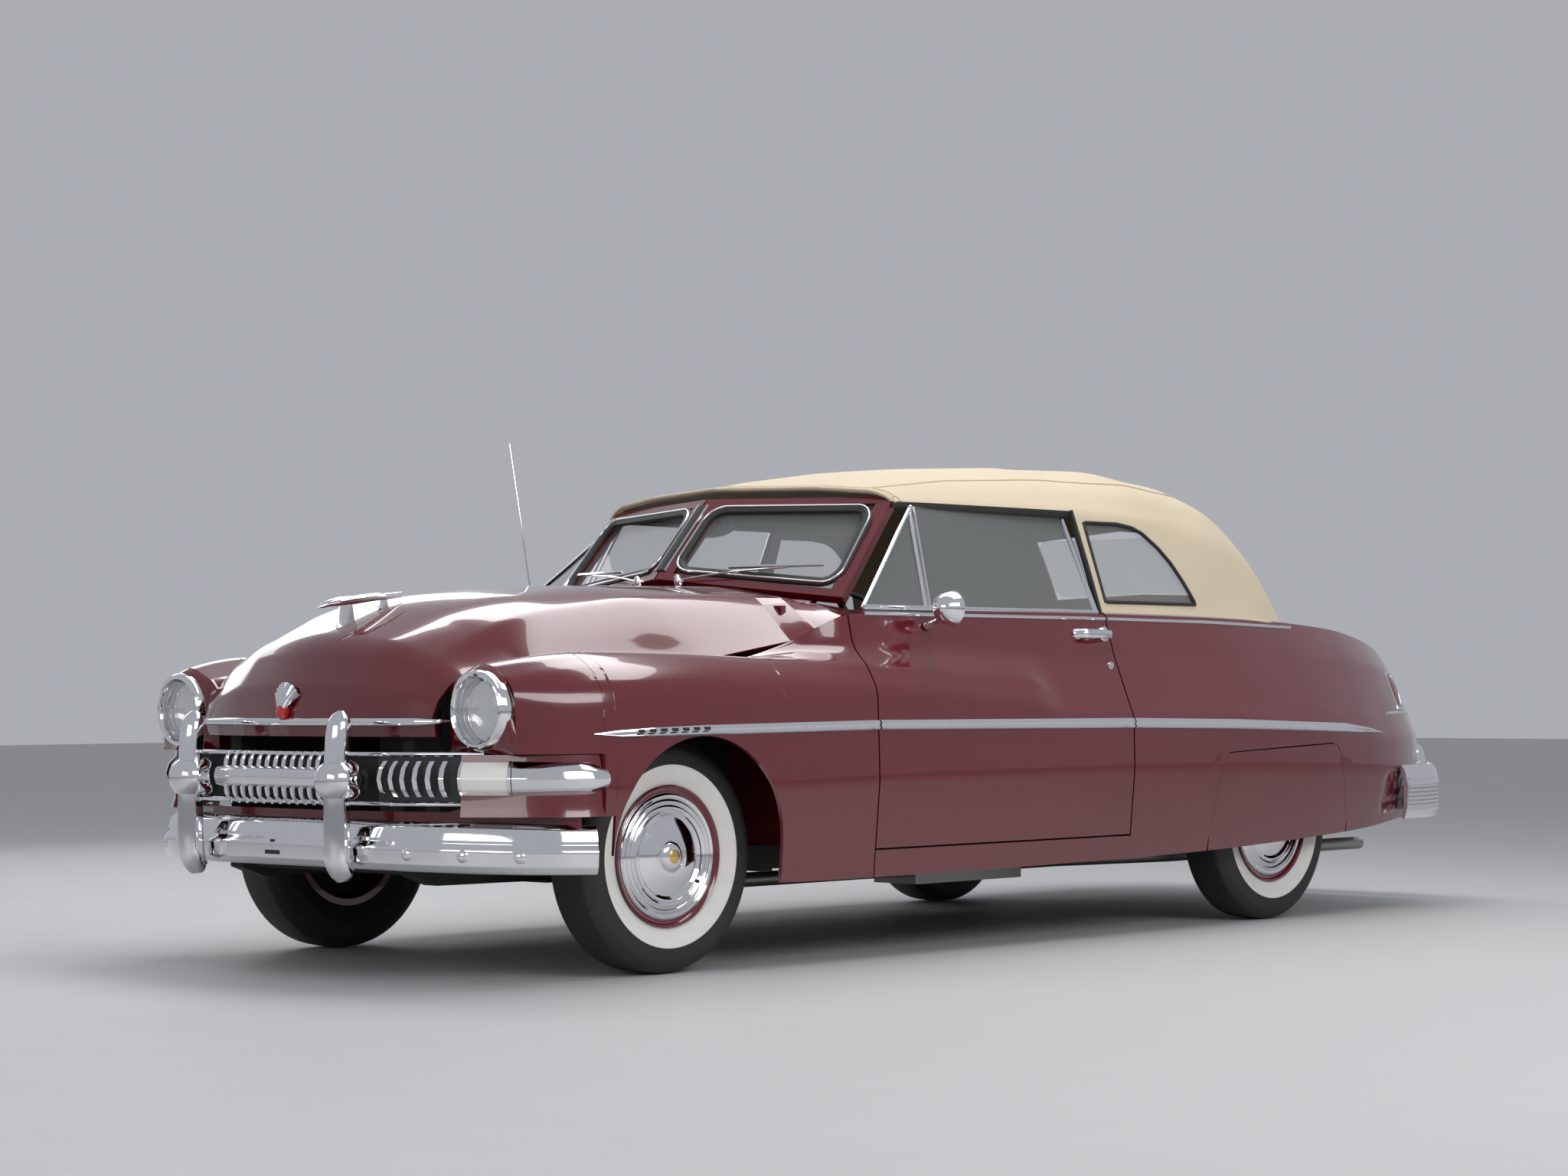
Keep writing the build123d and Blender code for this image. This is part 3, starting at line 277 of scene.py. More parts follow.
# tables of the body's forms, in millimetres behind the front axle, as in the CAD source
frontAxleY = -1712.5
sideTable = np.array([
    (-604, 566, 752, 572, 862, 35, 704, 918, 100, 826, 846, 90, 838, 600, 80, 800, 300),
    (-450, 594, 880, 622, 884, 50, 765, 945, 110, 914, 858, 150, 936, 560, 200, 915, 290),
    (-330, 618, 890, 645, 891, 60, 800, 955, 110, 948, 866, 150, 960, 550, 250, 935, 275),
    (0, 682, 902, 715, 901, 60, 850, 952, 100, 966, 866, 150, 974, 545, 300, 948, 262),
    (300, 741, 914, 772, 911, 60, 880, 936, 90, 968, 852, 150, 976, 545, 300, 948, 258),
    (565, 793, 984, 815, 950, 60, 905, 916, 70, 968, 842, 130, 976, 550, 300, 948, 255),
    (742, 846, 1064, 868, 962, 120, 924, 905, 55, 968, 830, 120, 976, 555, 300, 948, 255),
    (1050, 852, 1070, 874, 960, 120, 931, 889, 45, 970, 815, 120, 977, 560, 300, 948, 255),
    (1300, 852, 1075, 880, 950, 120, 936, 873, 40, 971, 795, 120, 977, 560, 300, 948, 256),
    (1540, 852, 1078, 885, 945, 120, 941, 860, 35, 972, 780, 110, 977, 560, 300, 948, 258),
    (1640, 852, 1080, 890, 935, 120, 948, 800, 35, 973, 745, 90, 977, 560, 300, 948, 259),
    (2012, 850, 1082, 890, 945, 120, 951, 792, 35, 974, 738, 90, 977, 560, 300, 948, 262),
    (2600, 842, 1078, 886, 945, 120, 950, 782, 35, 974, 728, 90, 976, 550, 300, 945, 275),
    (3100, 808, 1068, 866, 940, 120, 943, 764, 40, 967, 700, 90, 969, 540, 300, 938, 295),
    (3480, 762, 1048, 830, 930, 120, 916, 728, 50, 941, 662, 90, 944, 530, 300, 915, 315),
    (3700, 722, 1022, 792, 915, 110, 880, 700, 60, 906, 640, 90, 910, 525, 200, 884, 335),
    (3900, 676, 982, 738, 890, 90, 818, 700, 70, 846, 640, 80, 850, 520, 200, 828, 352),
    (4040, 634, 930, 684, 850, 70, 752, 700, 70, 778, 640, 80, 782, 520, 150, 762, 368),
    (4130, 596, 866, 634, 800, 60, 686, 690, 60, 708, 635, 70, 712, 520, 100, 694, 385),
], float)


def monotone(xs, ys, x):
    # monotone cubic through (xs, ys) at many x; ys may have columns
    xs, ys, x = np.asarray(xs, float), np.asarray(ys, float), np.asarray(x, float)
    flat = ys.reshape(len(xs), -1)
    h = np.diff(xs)[:, None]
    d = np.diff(flat, axis=0) / h
    m = np.zeros_like(flat)
    m[0], m[-1] = d[0], d[-1]
    if len(xs) > 2:
        w1, w2 = 2 * h[1:] + h[:-1], h[1:] + 2 * h[:-1]
        same = d[:-1] * d[1:] > 0
        with np.errstate(divide="ignore", invalid="ignore"):
            inner = (w1 + w2) / (w1 / d[:-1] + w2 / d[1:])
        m[1:-1] = np.where(same, inner, 0)
    i = np.clip(np.searchsorted(xs, x, side="right") - 1, 0, len(xs) - 2)
    t = ((np.clip(x, xs[0], xs[-1]) - xs[i]) / (xs[i + 1] - xs[i]))[:, None]
    out = (flat[i] * (2 * t**3 - 3 * t**2 + 1) + h[i] * m[i] * (t**3 - 2 * t**2 + t)
           + flat[i + 1] * (3 * t**2 - 2 * t**3) + h[i] * m[i + 1] * (t**3 - t**2))
    return out.reshape((len(x),) + ys.shape[1:])


sideFine = np.arange(-604.0, 4131.0, 10.0)
sideColumns = monotone(sideTable[:, 0], sideTable[:, 1:], sideFine)


def blurred(columns, width):
    reach = int(width * 3)
    kernel = np.exp(-0.5 * (np.arange(-reach, reach + 1) / width)**2)
    kernel /= kernel.sum()
    padded = np.concatenate([2 * columns[:1] - columns[reach:0:-1], columns,
                             2 * columns[-1:] - columns[-2:-reach - 2:-1]])
    return np.stack([np.convolve(padded[:, c], kernel, "valid") for c in range(columns.shape[1])], 1)


sideColumns = blurred(sideColumns, 4.0)


def lengthsOf(points):
    # length along a line up to each of its points
    return np.concatenate([[0], np.cumsum(np.linalg.norm(np.diff(points, axis=0), axis=1))])


def rounded(points, radii, arc=9, line=4):
    # samples a polyline whose inner corners are arcs
    pts = [np.asarray(p, float) for p in points]
    out, start = [], pts[0]
    for i in range(1, len(pts) - 1):
        a, b, c = pts[i - 1], pts[i], pts[i + 1]
        la, lc = np.linalg.norm(a - b), np.linalg.norm(c - b)
        u, v = (a - b) / la, (c - b) / lc
        turn = max(math.pi - math.acos(max(-1, min(1, float(u @ v)))), 1e-4)
        reach = min(radii[i] * math.tan(turn / 2), 0.48 * la, 0.48 * lc)
        r = reach / math.tan(turn / 2)
        p, q = b + u * reach, b + v * reach
        mid = (u + v) / max(np.linalg.norm(u + v), 1e-9)
        hub = b + mid * r / math.cos(turn / 2)
        out += [start + (p - start) * k / line for k in range(line)]
        for k in range(arc):
            f = -0.5 + k / arc
            e1, e2 = -mid, (q - p) / max(np.linalg.norm(q - p), 1e-9)
            out.append(hub + r * (e1 * math.cos(turn * f) + e2 * math.sin(turn * f))
                       if turn > 0.002 else p + (q - p) * k / arc)
        start = q
    out += [start + (pts[-1] - start) * k / line for k in range(line + 1)]
    return np.array(out)


def sideSection(s):
    row = [float(np.interp(s, sideFine, sideColumns[:, c])) for c in range(16)]
    pts = [(row[0], row[1]), (row[2], row[3]), (row[5], row[6]), (row[8], row[9]), (row[11], row[12]),
           (row[14], row[15])]
    return rounded(pts, [0, row[4], row[7], row[10], row[13], 0])


def clipped(section, high, low, count):
    # the run of a section between two heights, resampled; the section falls after its crest
    crest = int(np.argmax(section[:, 1]))
    path = section
    lengths = lengthsOf(path)
    start, end = 0.0, lengths[-1]
    zs = path[:, 1]
    for i in range(crest, len(path) - 1):
        if high is not None and zs[i] >= high > zs[i + 1]:
            start = lengths[i] + (zs[i] - high) / (zs[i] - zs[i + 1]) * (lengths[i + 1] - lengths[i])
        if low is not None and zs[i] >= low > zs[i + 1]:
            end = lengths[i] + (zs[i] - low) / (zs[i] - zs[i + 1]) * (lengths[i + 1] - lengths[i])
    at = np.linspace(start, end, count)
    return np.stack([np.interp(at, lengths, path[:, 0]), np.interp(at, lengths, path[:, 1])], 1)


def gridFaces(rows, cols, offset=0):
    return [(offset + i * cols + j, offset + i * cols + j + 1, offset + (i + 1) * cols + j + 1,
             offset + (i + 1) * cols + j)
            for i in range(rows - 1) for j in range(cols - 1)]


def closedPanel(name, outer, inner, look, body, **extra):
    # outer and inner are grids of the same size; the rim joins them
    rows, cols = outer.shape[:2]
    count = rows * cols
    faces = gridFaces(rows, cols) + [f[::-1] for f in gridFaces(rows, cols, count)]
    ring = [(0, j) for j in range(cols)] + [(i, cols - 1) for i in range(1, rows)]
    ring += [(rows - 1, j) for j in range(cols - 2, -1, -1)] + [(i, 0) for i in range(rows - 2, 0, -1)]
    ids = [i * cols + j for i, j in ring]
    for a, b in zip(ids, ids[1:] + ids[:1]):
        faces.append((a, b, b + count, a + count))
    points = np.concatenate([outer.reshape(-1, 3), inner.reshape(-1, 3)]) / 1000.0
    return made(name, points, faces, look, body, **extra)


def normalsOf(grid):
    du, dv = np.gradient(grid, axis=0), np.gradient(grid, axis=1)
    n = np.cross(du, dv)
    return n / np.maximum(np.linalg.norm(n, axis=2, keepdims=True), 1e-9)


def sideGrid(stations, high=None, low=None, count=90):
    rows = []
    for s in stations:
        section = clipped(sideSection(s), high(s) if high else None, low(s) if low else None, count)
        rows.append([(x, frontAxleY + s, z) for x, z in section])
    return np.array(rows)


def mirroredGrid(grid):
    return grid * np.array([-1.0, 1.0, 1.0])


gridSides = (("Left", lambda g: g), ("Right", mirroredGrid))


def bothSides(name, outer, inner, look, bodies, nodes, **extra):
    for (side, flip), body, node in zip(gridSides, bodies, nodes):
        closedPanel(name + side, flip(outer), flip(inner), look, body, replaces=(node,) if node else (),
                    slot="paint", **extra)


# front fenders
arch = {"radius": 335.0, "height": 362.0, "frontLow": 476.0, "sheet": 12.0}


def fenderLow(s):
    if s < -372:
        return 652.0
    if s < -arch["radius"]:
        return arch["frontLow"]
    if abs(s) <= arch["radius"]:
        return arch["height"] + math.sqrt(max(0.0, arch["radius"]**2 - s * s))
    return None


bend = [arch["radius"] * math.sin(a) for a in np.linspace(-math.pi / 2, math.pi / 2, 61)]
fenderStations = (list(np.linspace(-603, -373, 22)) + list(np.linspace(-371.5, -arch["radius"] - 1, 4)) + bend
                  + list(np.linspace(arch["radius"] + 0.5, 742, 30)))
outer = sideGrid(fenderStations, low=lambda s: max(fenderLow(s) or 0, 0) or None)
inner = outer - normalsOf(outer) * arch["sheet"] * np.sign(normalsOf(outer)[40:41, 45:46, 0:1])
bothSides("frontFender", outer, inner, "paint", ("body", "body"), ("front_fender_left", "front_fender_right"))

# doors
doorOuter = sideGrid(np.linspace(748, 2011, 110), low=lambda s: 344.0)
doorInner = doorOuter.copy()
doorInner[:, :, 0] = 770.0
doorInner[:, :, 1] = frontAxleY + 748 + (doorInner[:, :, 1] - frontAxleY - 748) * 0.9826
bothSides("door", doorOuter, doorInner, "paint", ("door_left", "door_right"), ("door_left", "door_right"))

# rear quarters and skirts
skirtLine = [(2456, 255), (2457, 301), (2511, 562), (2530, 596), (2560, 612), (3202, 634), (3232, 626),
             (3251, 606), (3336, 332), (3337, 255)]


def skirtTop(s, gap=0.0):
    if s <= 2456 or s >= 3337:
        return None
    return float(np.interp(s, [p[0] for p in skirtLine], [p[1] for p in skirtLine])) - gap


quarterStations = sorted(list(np.linspace(2017, 4130, 190))
                         + [2456.5, 2457.5, 2511, 2530, 2560, 3202, 3232, 3251, 3336, 3336.8])
outer = sideGrid(quarterStations, low=lambda s: skirtTop(s))
inner = outer.copy()
inner[:, :, 0] -= 40
bothSides("quarterPanel", outer, inner, "paint", ("body", "body"), (None, None))
skirtStations = sorted(list(np.linspace(2463, 3330, 90)) + [2516, 2534, 2562, 3200, 3229, 3246])
outer = sideGrid(skirtStations, high=lambda s: skirtTop(s, 5.0), count=40)
inner = outer.copy()
inner[:, :, 0] -= 14
bothSides("rearSkirt", outer, inner, "paint", ("body", "body"), ("rear_skirts", "rear_skirts"))
print("stage: side panels made")


def rowGrid(rows, radii, places, across, arc=12, line=10):
    # rows of (x front, x rear, s, z, s, z, ...) turned into a smooth grid over x
    curves = []
    for row in rows:
        pts = [(row[i], row[i + 1]) for i in range(2, len(row), 2)]
        run = rounded(pts, radii, arc, line)
        s0, s1 = pts[0][0], pts[-1][0]
        xs = row[0] + (row[1] - row[0]) * (run[:, 0] - s0) / (s1 - s0)
        curves.append(np.stack([xs, frontAxleY + run[:, 0], run[:, 1]], 1))
    full = [c * np.array([-1.0, 1.0, 1.0]) for c in curves[:0:-1]] + curves
    keys = [-p for p in places[:0:-1]] + list(places)
    return monotone(keys, np.array(full), np.linspace(keys[0], keys[-1], across))


hoodRear, deckFront = 565, 3452
hoodTable = [
    (0, 0, -772, 745, -744, 850, -664, 986, -304, 1119, 100, 1157, hoodRear, 1168),
    (250, 330, -745, 745, -724, 840, -644, 966, -304, 1107, 100, 1150, hoodRear, 1160),
    (430, 590, -705, 745, -684, 822, -604, 920, -304, 1058, 100, 1112, hoodRear, 1128),
    (538, 772, -662, 745, -642, 800, -585, 868, -304, 890, 150, 903, hoodRear, 980),
]
outer = rowGrid(hoodTable, [0, 90, 160, 900, 1200, 0], (0, 0.45, 0.8, 1.0), 121)
inner = outer - normalsOf(outer) * 10 * np.sign(normalsOf(outer)[60:61, 60:61, 2:3])
closedPanel("hoodPanel", outer, inner, "paint", "hood", replaces=("hood",), slot="paint")
deckTable = [
    (0, 0, deckFront, 1080, 3760, 1064, 4020, 975, 4118, 760, 4124, 585),
    (330, 300, deckFront, 1074, 3760, 1056, 4014, 966, 4112, 755, 4120, 585),
    (570, 500, deckFront, 1058, 3740, 1036, 3985, 948, 4085, 750, 4098, 585),
    (700, 578, deckFront, 1040, 3720, 1012, 3950, 938, 4050, 745, 4066, 585),
]
outer = rowGrid(deckTable, [0, 700, 300, 300, 0], (0, 0.47, 0.83, 1.0), 101)
inner = outer - normalsOf(outer) * 10 * np.sign(normalsOf(outer)[50:51, 20:21, 2:3])
closedPanel("deckPanel", outer, inner, "paint", "decklid", replaces=("decklid",), slot="paint")
print("stage: hood and decklid made")

# shells: points in millimetres as (x, s, z) with s behind the front axle
def merged(shells):
    points, faces, base = [], [], 0
    for p, f in shells:
        points.append(np.asarray(p, float))
        faces += [tuple(i + base for i in face) for face in f]
        base += len(p)
    return np.concatenate(points), faces


def opposite(shell):
    return np.asarray(shell[0]) * np.array([-1.0, 1.0, 1.0]), [f[::-1] for f in shell[1]]


shellSides = (("left", lambda s: s), ("right", opposite))


def pair(*shells):
    return list(shells) + [opposite(s) for s in shells]


def piece(name, shells, look, body, **extra):
    points, faces = merged(shells)
    points = points.copy()
    points[:, 1] += frontAxleY
    return made(name, points / 1000.0, faces, look, body, **extra)


def chromed(name, shells, body="body", **extra):
    return piece(name, shells, "chrome", body, slot="chrome", **extra)


def smoothLine(points, count):
    pts = np.asarray(points, float)
    lengths = lengthsOf(pts)
    return monotone(lengths, pts, np.linspace(0, lengths[-1], count))


def ringFaces(rows, count, closed=False, caps=True):
    # quads between rings of points, capped at the ends unless the rows close on themselves
    faces = [(i * count + j, i * count + (j + 1) % count, (i + 1) % rows * count + (j + 1) % count,
              (i + 1) % rows * count + j)
             for i in range(rows if closed else rows - 1) for j in range(count)]
    if caps and not closed:
        faces += [tuple(range(count)), tuple(range((rows - 1) * count, rows * count))]
    return faces


def sweep(path, section, normal=(0, 0, 1), scale=None, closed=False):
    # a section of (side, along the normal) carried along a path
    path, section = np.asarray(path, float), np.asarray(section, float)
    n, k = len(path), len(section)
    tangent = np.roll(path, -1, 0) - np.roll(path, 1, 0) if closed else np.gradient(path, axis=0)
    tangent = tangent / np.maximum(np.linalg.norm(tangent, axis=1, keepdims=True), 1e-9)
    up = np.broadcast_to(np.asarray(normal, float), path.shape)
    up = up - (up * tangent).sum(1, keepdims=True) * tangent
    up = up / np.maximum(np.linalg.norm(up, axis=1, keepdims=True), 1e-9)
    side = np.cross(tangent, up)
    size = np.ones(n) if scale is None else np.asarray(scale, float)
    turned = side[:, None] * section[None, :, 0:1] + up[:, None] * section[None, :, 1:2]
    ring = path[:, None] + turned * size[:, None, None]
    return ring.reshape(-1, 3), ringFaces(n, k, closed)


def bead(width, height, count=9):
    turns = np.linspace(0, math.pi, count)
    over = [(width / 2 * math.cos(t), height * math.sin(t)) for t in turns]
    return over + [(-width / 2, -2), (width / 2, -2)]


def oval(wide, tall, count=14):
    return [(wide * math.cos(t), tall * math.sin(t))
            for t in np.linspace(0, 2 * math.pi, count, endpoint=False)]


def disc(radius, count=14):
    return oval(radius, radius, count)


def turn(profile, centre, axis=(0, -1, 0), count=48, closed=False):
    # a profile of (along the axis, radius) turned about an axis through the centre
    a = Vector(axis).normalized()
    e1 = a.orthogonal().normalized()
    e2 = a.cross(e1)
    a, e1, e2 = np.array(a), np.array(e1), np.array(e2)
    angles = np.linspace(0, 2 * math.pi, count, endpoint=False)
    points = [np.array(centre, float) + a * p + max(r, 0.02) * (e1 * math.cos(t) + e2 * math.sin(t))
              for p, r in profile for t in angles]
    return np.array(points), ringFaces(len(profile), count, closed)


def sideX(s, z):
    # x of the body side at a height below the crest
    section = sideSection(s)
    crest = int(np.argmax(section[:, 1]))
    run = section[crest:][::-1]
    return float(np.interp(z, run[:, 1], run[:, 0]))


def sideRun(first, last, count, zOf, lift=1):
    # points just outside the body side, at the height that zOf gives
    return np.array([(sideX(s, zOf(s)) + lift, s, zOf(s)) for s in np.linspace(first, last, count)])


# soft top
topTable = [
    (1000, 1188, 1500, 380, 1492, 600, 1474, 668, 1440, 800, 1092),
    (1500, 1560, 1574, 400, 1562, 610, 1510, 690, 1440, 812, 1092),
    (2000, 2030, 1616, 420, 1598, 620, 1530, 705, 1436, 826, 1076),
    (2400, 2400, 1634, 430, 1606, 625, 1528, 712, 1420, 828, 1072),
    (2800, 2740, 1612, 430, 1580, 630, 1494, 724, 1370, 824, 1068),
    (3140, 2990, 1500, 430, 1460, 630, 1388, 732, 1288, 812, 1062),
    (3420, 3180, 1088, 430, 1080, 640, 1068, 745, 1056, 790, 1044),
]
topLook = {"thick": 7.0, "sag": 7.0, "wrinkle": 3.5, "bows": (1060, 1500, 2000, 2500, 2860)}
topKeys = np.array([row[0] for row in topTable], float)
topRows = np.array([row[1:] for row in topTable], float)


def topCurve(key):
    row = monotone(topKeys, topRows, [key])[0]
    side, zc, rest = row[0], row[1], row[2:]
    corners = [(0.0, zc)] + [(rest[i], rest[i + 1]) for i in range(0, 8, 2)]
    run = rounded(corners, [0, 600, 200, 90, 0], 14, 12)
    return np.stack([run[:, 0], key + (side - key) * run[:, 0] / rest[6], run[:, 1]], 1)


def topSlice(curve, marks, counts):
    # columns between marks, each mark a length along the curve
    cols = [marks[0]]
    for a, b, n in zip(marks, marks[1:], counts):
        cols += list(np.linspace(a, b, n + 1)[1:])
    lengths = lengthsOf(curve)
    return np.stack([np.interp(cols, lengths, curve[:, i]) for i in range(3)], 1)


def lengthAt(curve, z=None, x=None):
    lengths = lengthsOf(curve)
    if x is not None:
        return float(np.interp(x, curve[:, 0], lengths))
    return float(np.interp(-z, -curve[:, 2], lengths))


sideOfKey = monotone(topKeys, topRows[:, :1], np.arange(1000, 3421, 1.0))[:, 0]


def keyOf(s):
    return float(np.interp(s, sideOfKey, np.arange(1000, 3421, 1.0)))


quarterTop = [(2072, 1398), (2250, 1398), (2330, 1388), (2380, 1370), (2450, 1322), (2500, 1270),
              (2545, 1200), (2580, 1134), (2600, 1180)]
edgeKey, holeStart, holeEnd = keyOf(2022), keyOf(2072), keyOf(2580)
rearStart, rearEnd = 3205.0, 3352.0
keys = sorted(set(list(np.linspace(1000, 3420, 150)) + [edgeKey, holeStart, holeEnd, rearStart, rearEnd]))
bandCounts = (26, 46, 8, 16, 5)
rows = []
for key in keys:
    curve = topCurve(key)
    sideS = float(np.interp(key, np.arange(1000, 3421, 1.0), sideOfKey))
    edge = min(1436.0, curve[0, 2] - 12)
    total = lengthAt(curve, z=curve[-1, 2] - 1)
    first = lengthAt(curve, x=350)
    marks = [0, first, max(first + 20, lengthAt(curve, z=edge))]
    zTop = float(np.interp(sideS, [p[0] for p in quarterTop], [p[1] for p in quarterTop]))
    marks.append(min(max(lengthAt(curve, z=zTop), marks[2] + 8), total - 24))
    marks.append(min(max(lengthAt(curve, z=1124), marks[3] + 8), total - 12))
    marks.append(total)
    rows.append(topSlice(curve, marks, bandCounts))
grid = np.array(rows)
keys = np.array(keys)
# sag between the bows and soft wrinkles in the quarter
span = np.abs(np.sin(np.pi * np.interp(keys, [1000] + list(topLook["bows"])[1:] + [3420], range(6))))
width = np.linspace(0, 1, grid.shape[1])
fade = np.clip(1.0 - np.abs(width - 0.3) / 0.35, 0, 1)
out = -normalsOf(grid)
out *= np.sign(out[40:41, 5:6, 2:3])
seedy = np.random.default_rng(7)
waves = sum(np.sin(grid[:, :, 1] * seedy.uniform(0.006, 0.02) + grid[:, :, 2] * seedy.uniform(-0.03, 0.03)
                   + seedy.uniform(0, 6)) for _ in range(5)) / 5
quarter = (np.clip((grid[:, :, 1] - 2120) / 300, 0, 1) * np.clip((1560 - grid[:, :, 2]) / 120, 0, 1)
           * np.clip((grid[:, :, 2] - 1075) / 60, 0, 1))
drop = topLook["sag"] * span[:, None] * fade[None, :] - topLook["wrinkle"] * waves * (0.25 + quarter)
grid = grid - out * drop[:, :, None]
thin = grid - out * topLook["thick"]
grid[:, 0, 0] = 0.0
thin[:, 0, 0] = 0.0
cols = grid.shape[1]
frontCols = sum(bandCounts[:2])
paneTop, paneLow = frontCols + bandCounts[2], frontCols + bandCounts[2] + bandCounts[3]
half = []
for i in range(len(keys) - 1):
    middle = (keys[i] + keys[i + 1]) / 2
    for j in range(cols - 1):
        doorWindow = middle < edgeKey and j >= frontCols
        quarterWindow = holeStart < middle < holeEnd and paneTop <= j < paneLow
        backWindow = rearStart < middle < rearEnd and j < bandCounts[0]
        if doorWindow or quarterWindow or backWindow:
            continue
        half.append((i * cols + j, i * cols + j + 1, (i + 1) * cols + j + 1, (i + 1) * cols + j))


def topSheet():
    # both halves, outside and lining, with rims where the sheet ends
    points = np.concatenate([g.reshape(-1, 3) for g in (grid, grid * [-1, 1, 1], thin, thin * [-1, 1, 1])])
    n = len(keys) * cols
    outside = half + [tuple(v + n for v in f[::-1]) for f in half]
    bm = bmesh.new()
    verts = [bm.verts.new((p[0] / 1000, (p[1] + frontAxleY) / 1000, p[2] / 1000)) for p in points]
    for f in outside:
        bm.faces.new([verts[i] for i in f])
    for f in outside:
        bm.faces.new([verts[i + 2 * n] for i in f[::-1]]).material_index = 1
    index = {v: i for i, v in enumerate(verts)}
    rims = []
    for e in [e for e in bm.edges if len(e.link_faces) == 1]:
        i, j = index[e.verts[0]], index[e.verts[1]]
        centre = all(abs(points[k][0]) < 0.5 for k in (i, j))
        if i < 2 * n and j < 2 * n and not centre:
            rims.append((i, j, j + 2 * n, i + 2 * n))
    for r in rims:
        bm.faces.new([verts[i] for i in r])
    bmesh.ops.delete(bm, geom=[v for v in bm.verts if not v.link_faces], context="VERTS")
    bmesh.ops.remove_doubles(bm, verts=bm.verts, dist=1e-5)
    area = sum(f.calc_area() for f in bm.faces) / 2
    top = finished("canvasTop", bm, ["canvas", "lining"], "body", replaces=("soft_top",), slot="canvas",
                   angle=50)
    return top, area


canvasTop, canvasArea = topSheet()
edgeLine = grid[keys < edgeKey + 1, frontCols] + [2, 0, 0]
rearLine = grid[keys > edgeKey - 1, -1]
frontLine = grid[1, :frontCols + 1]
seamRow = grid[3, :frontCols + 1] + [0, 0, 1.5]
roofSeam = grid[3:118, 52] + [1.0, 0, 1.5]
hem = [sweep(seamRow, disc(2.2, 8)), sweep(roofSeam, disc(2.6, 8)),
       sweep(frontLine + [0, 4, -5], disc(9.0, 12)), sweep(rearLine + [0, 0, 6], disc(7, 10), (1, 0, 0))]
binding = piece("canvasBinding", pair(*hem), "canvas", "body", slot="canvas", replaces=("soft_top",))
paneRows = grid[(keys >= holeStart - 1) & (keys <= holeEnd + 1)]
loop = np.concatenate([paneRows[:, paneTop], paneRows[::-1, paneLow]])
band = [sweep(edgeLine + [-6, 0, -10], [(-9, -10), (5, -10), (7, 0), (5, 10), (-9, 10)]),
        sweep(loop, disc(6.5, 10), (1, 0, 0), closed=True),
        sweep([(704, 2016, 1436), (776, 2016, 1240), (830, 2016, 1082)], [(-9, -6), (7, -6), (9, 4), (-9, 6)],
              (0, 1, 0))]
piece("canvasEdgeRubber", pair(*band), "rubber", "body")
round(2 * canvasArea / 2.9 / 1.0, 3)
print("stage: canvas top made")

# windscreen trims, wipers and inside mirror; u runs outwards and v upwards over each half
screenLook = {"rubberIn": 46, "chromeIn": 40, "rubberLift": 16, "chromeLift": 20, "wiperTip": (0.66, 0.22),
              "mirrorUp": 0.83}
screen = [np.array(c, float) for c in ((0, 742, 1186), (690, 894, 1112), (655, 1175, 1448), (0, 984, 1455))]
screenNormal = np.cross(screen[1] - screen[0], screen[3] - screen[0])
screenNormal /= np.linalg.norm(screenNormal)
screenNormal *= -np.sign(screenNormal[1])


def screenAt(u, v, lift=0.0):
    low = screen[0] + (screen[1] - screen[0]) * u
    high = screen[3] + (screen[2] - screen[3]) * u
    return low + (high - low) * v + screenNormal * lift


def screenLoop(edge, lift, corner=0.09):
    a, b = edge / 690.0, edge / 360.0
    points = []
    for cu, cv, start in ((1 - a - corner, 1 - b - corner * 1.9, 0), (a + corner, 1 - b - corner * 1.9, 90),
                          (a + corner, b + corner * 1.9, 180), (1 - a - corner, b + corner * 1.9, 270)):
        for t in np.linspace(math.radians(start), math.radians(start + 90), 9):
            points.append(screenAt(cu + corner * math.cos(t), cv + corner * 1.9 * math.sin(t), lift))
    return np.array(points)


rubberLoop = sweep(screenLoop(screenLook["rubberIn"], screenLook["rubberLift"]),
                   [(-17, -9), (17, -9), (15, 1), (0, 5), (-15, 1)], screenNormal, closed=True)
chromeLoop = sweep(screenLoop(screenLook["chromeIn"], screenLook["chromeLift"]), bead(7, 4), screenNormal,
                   closed=True)
middleRubber = sweep([screenAt(0, 0.1, 12), screenAt(0, 0.92, 12)],
                     [(-21, -22), (21, -22), (19, 2), (0, 8), (-19, 2)], (0, -1, 0.5))
piece("screenRubber", pair(rubberLoop) + [middleRubber], "rubber", "body")
chromed("screenChrome", pair(chromeLoop, sweep([screenAt(0.026, 0.1, 15), screenAt(0.026, 0.92, 15)],
                                               bead(6, 6), (0, -1, 0.5))))
wiper = []
tipU, tipV = screenLook["wiperTip"]
for side in (1, -1):
    pivot, tip = screenAt(0.13, 0.0, 20), screenAt(tipU, tipV, 26)
    middle = (pivot + tip) / 2 + screenNormal * 8
    arm = sweep(smoothLine([pivot, middle, tip], 12), disc(3.2, 8))
    blade = sweep([screenAt(tipU - 0.30, tipV - 0.045, 27), screenAt(tipU + 0.18, tipV + 0.05, 27)],
                  [(-3, -6), (3, -6), (4, 3), (-4, 3)], screenNormal)
    post = turn([(-14, 15), (0, 15), (6, 12), (14, 9), (20, 0)], pivot, (0, -0.45, 0.9), 20)
    wiper += [arm, blade, post] if side > 0 else [opposite(x) for x in (arm, blade, post)]
chromed("wipers", wiper)
mirrorPoint = screenAt(0.0, screenLook["mirrorUp"], -62)
piece("insideMirror", [turn([(-9, 28), (-8, 36), (0, 38), (7, 36), (9, 28)], (0, 0, 0), (0, -1, 0), 32)],
      "plastic", "body")
mirrorPiece = bpy.data.objects["insideMirror"]
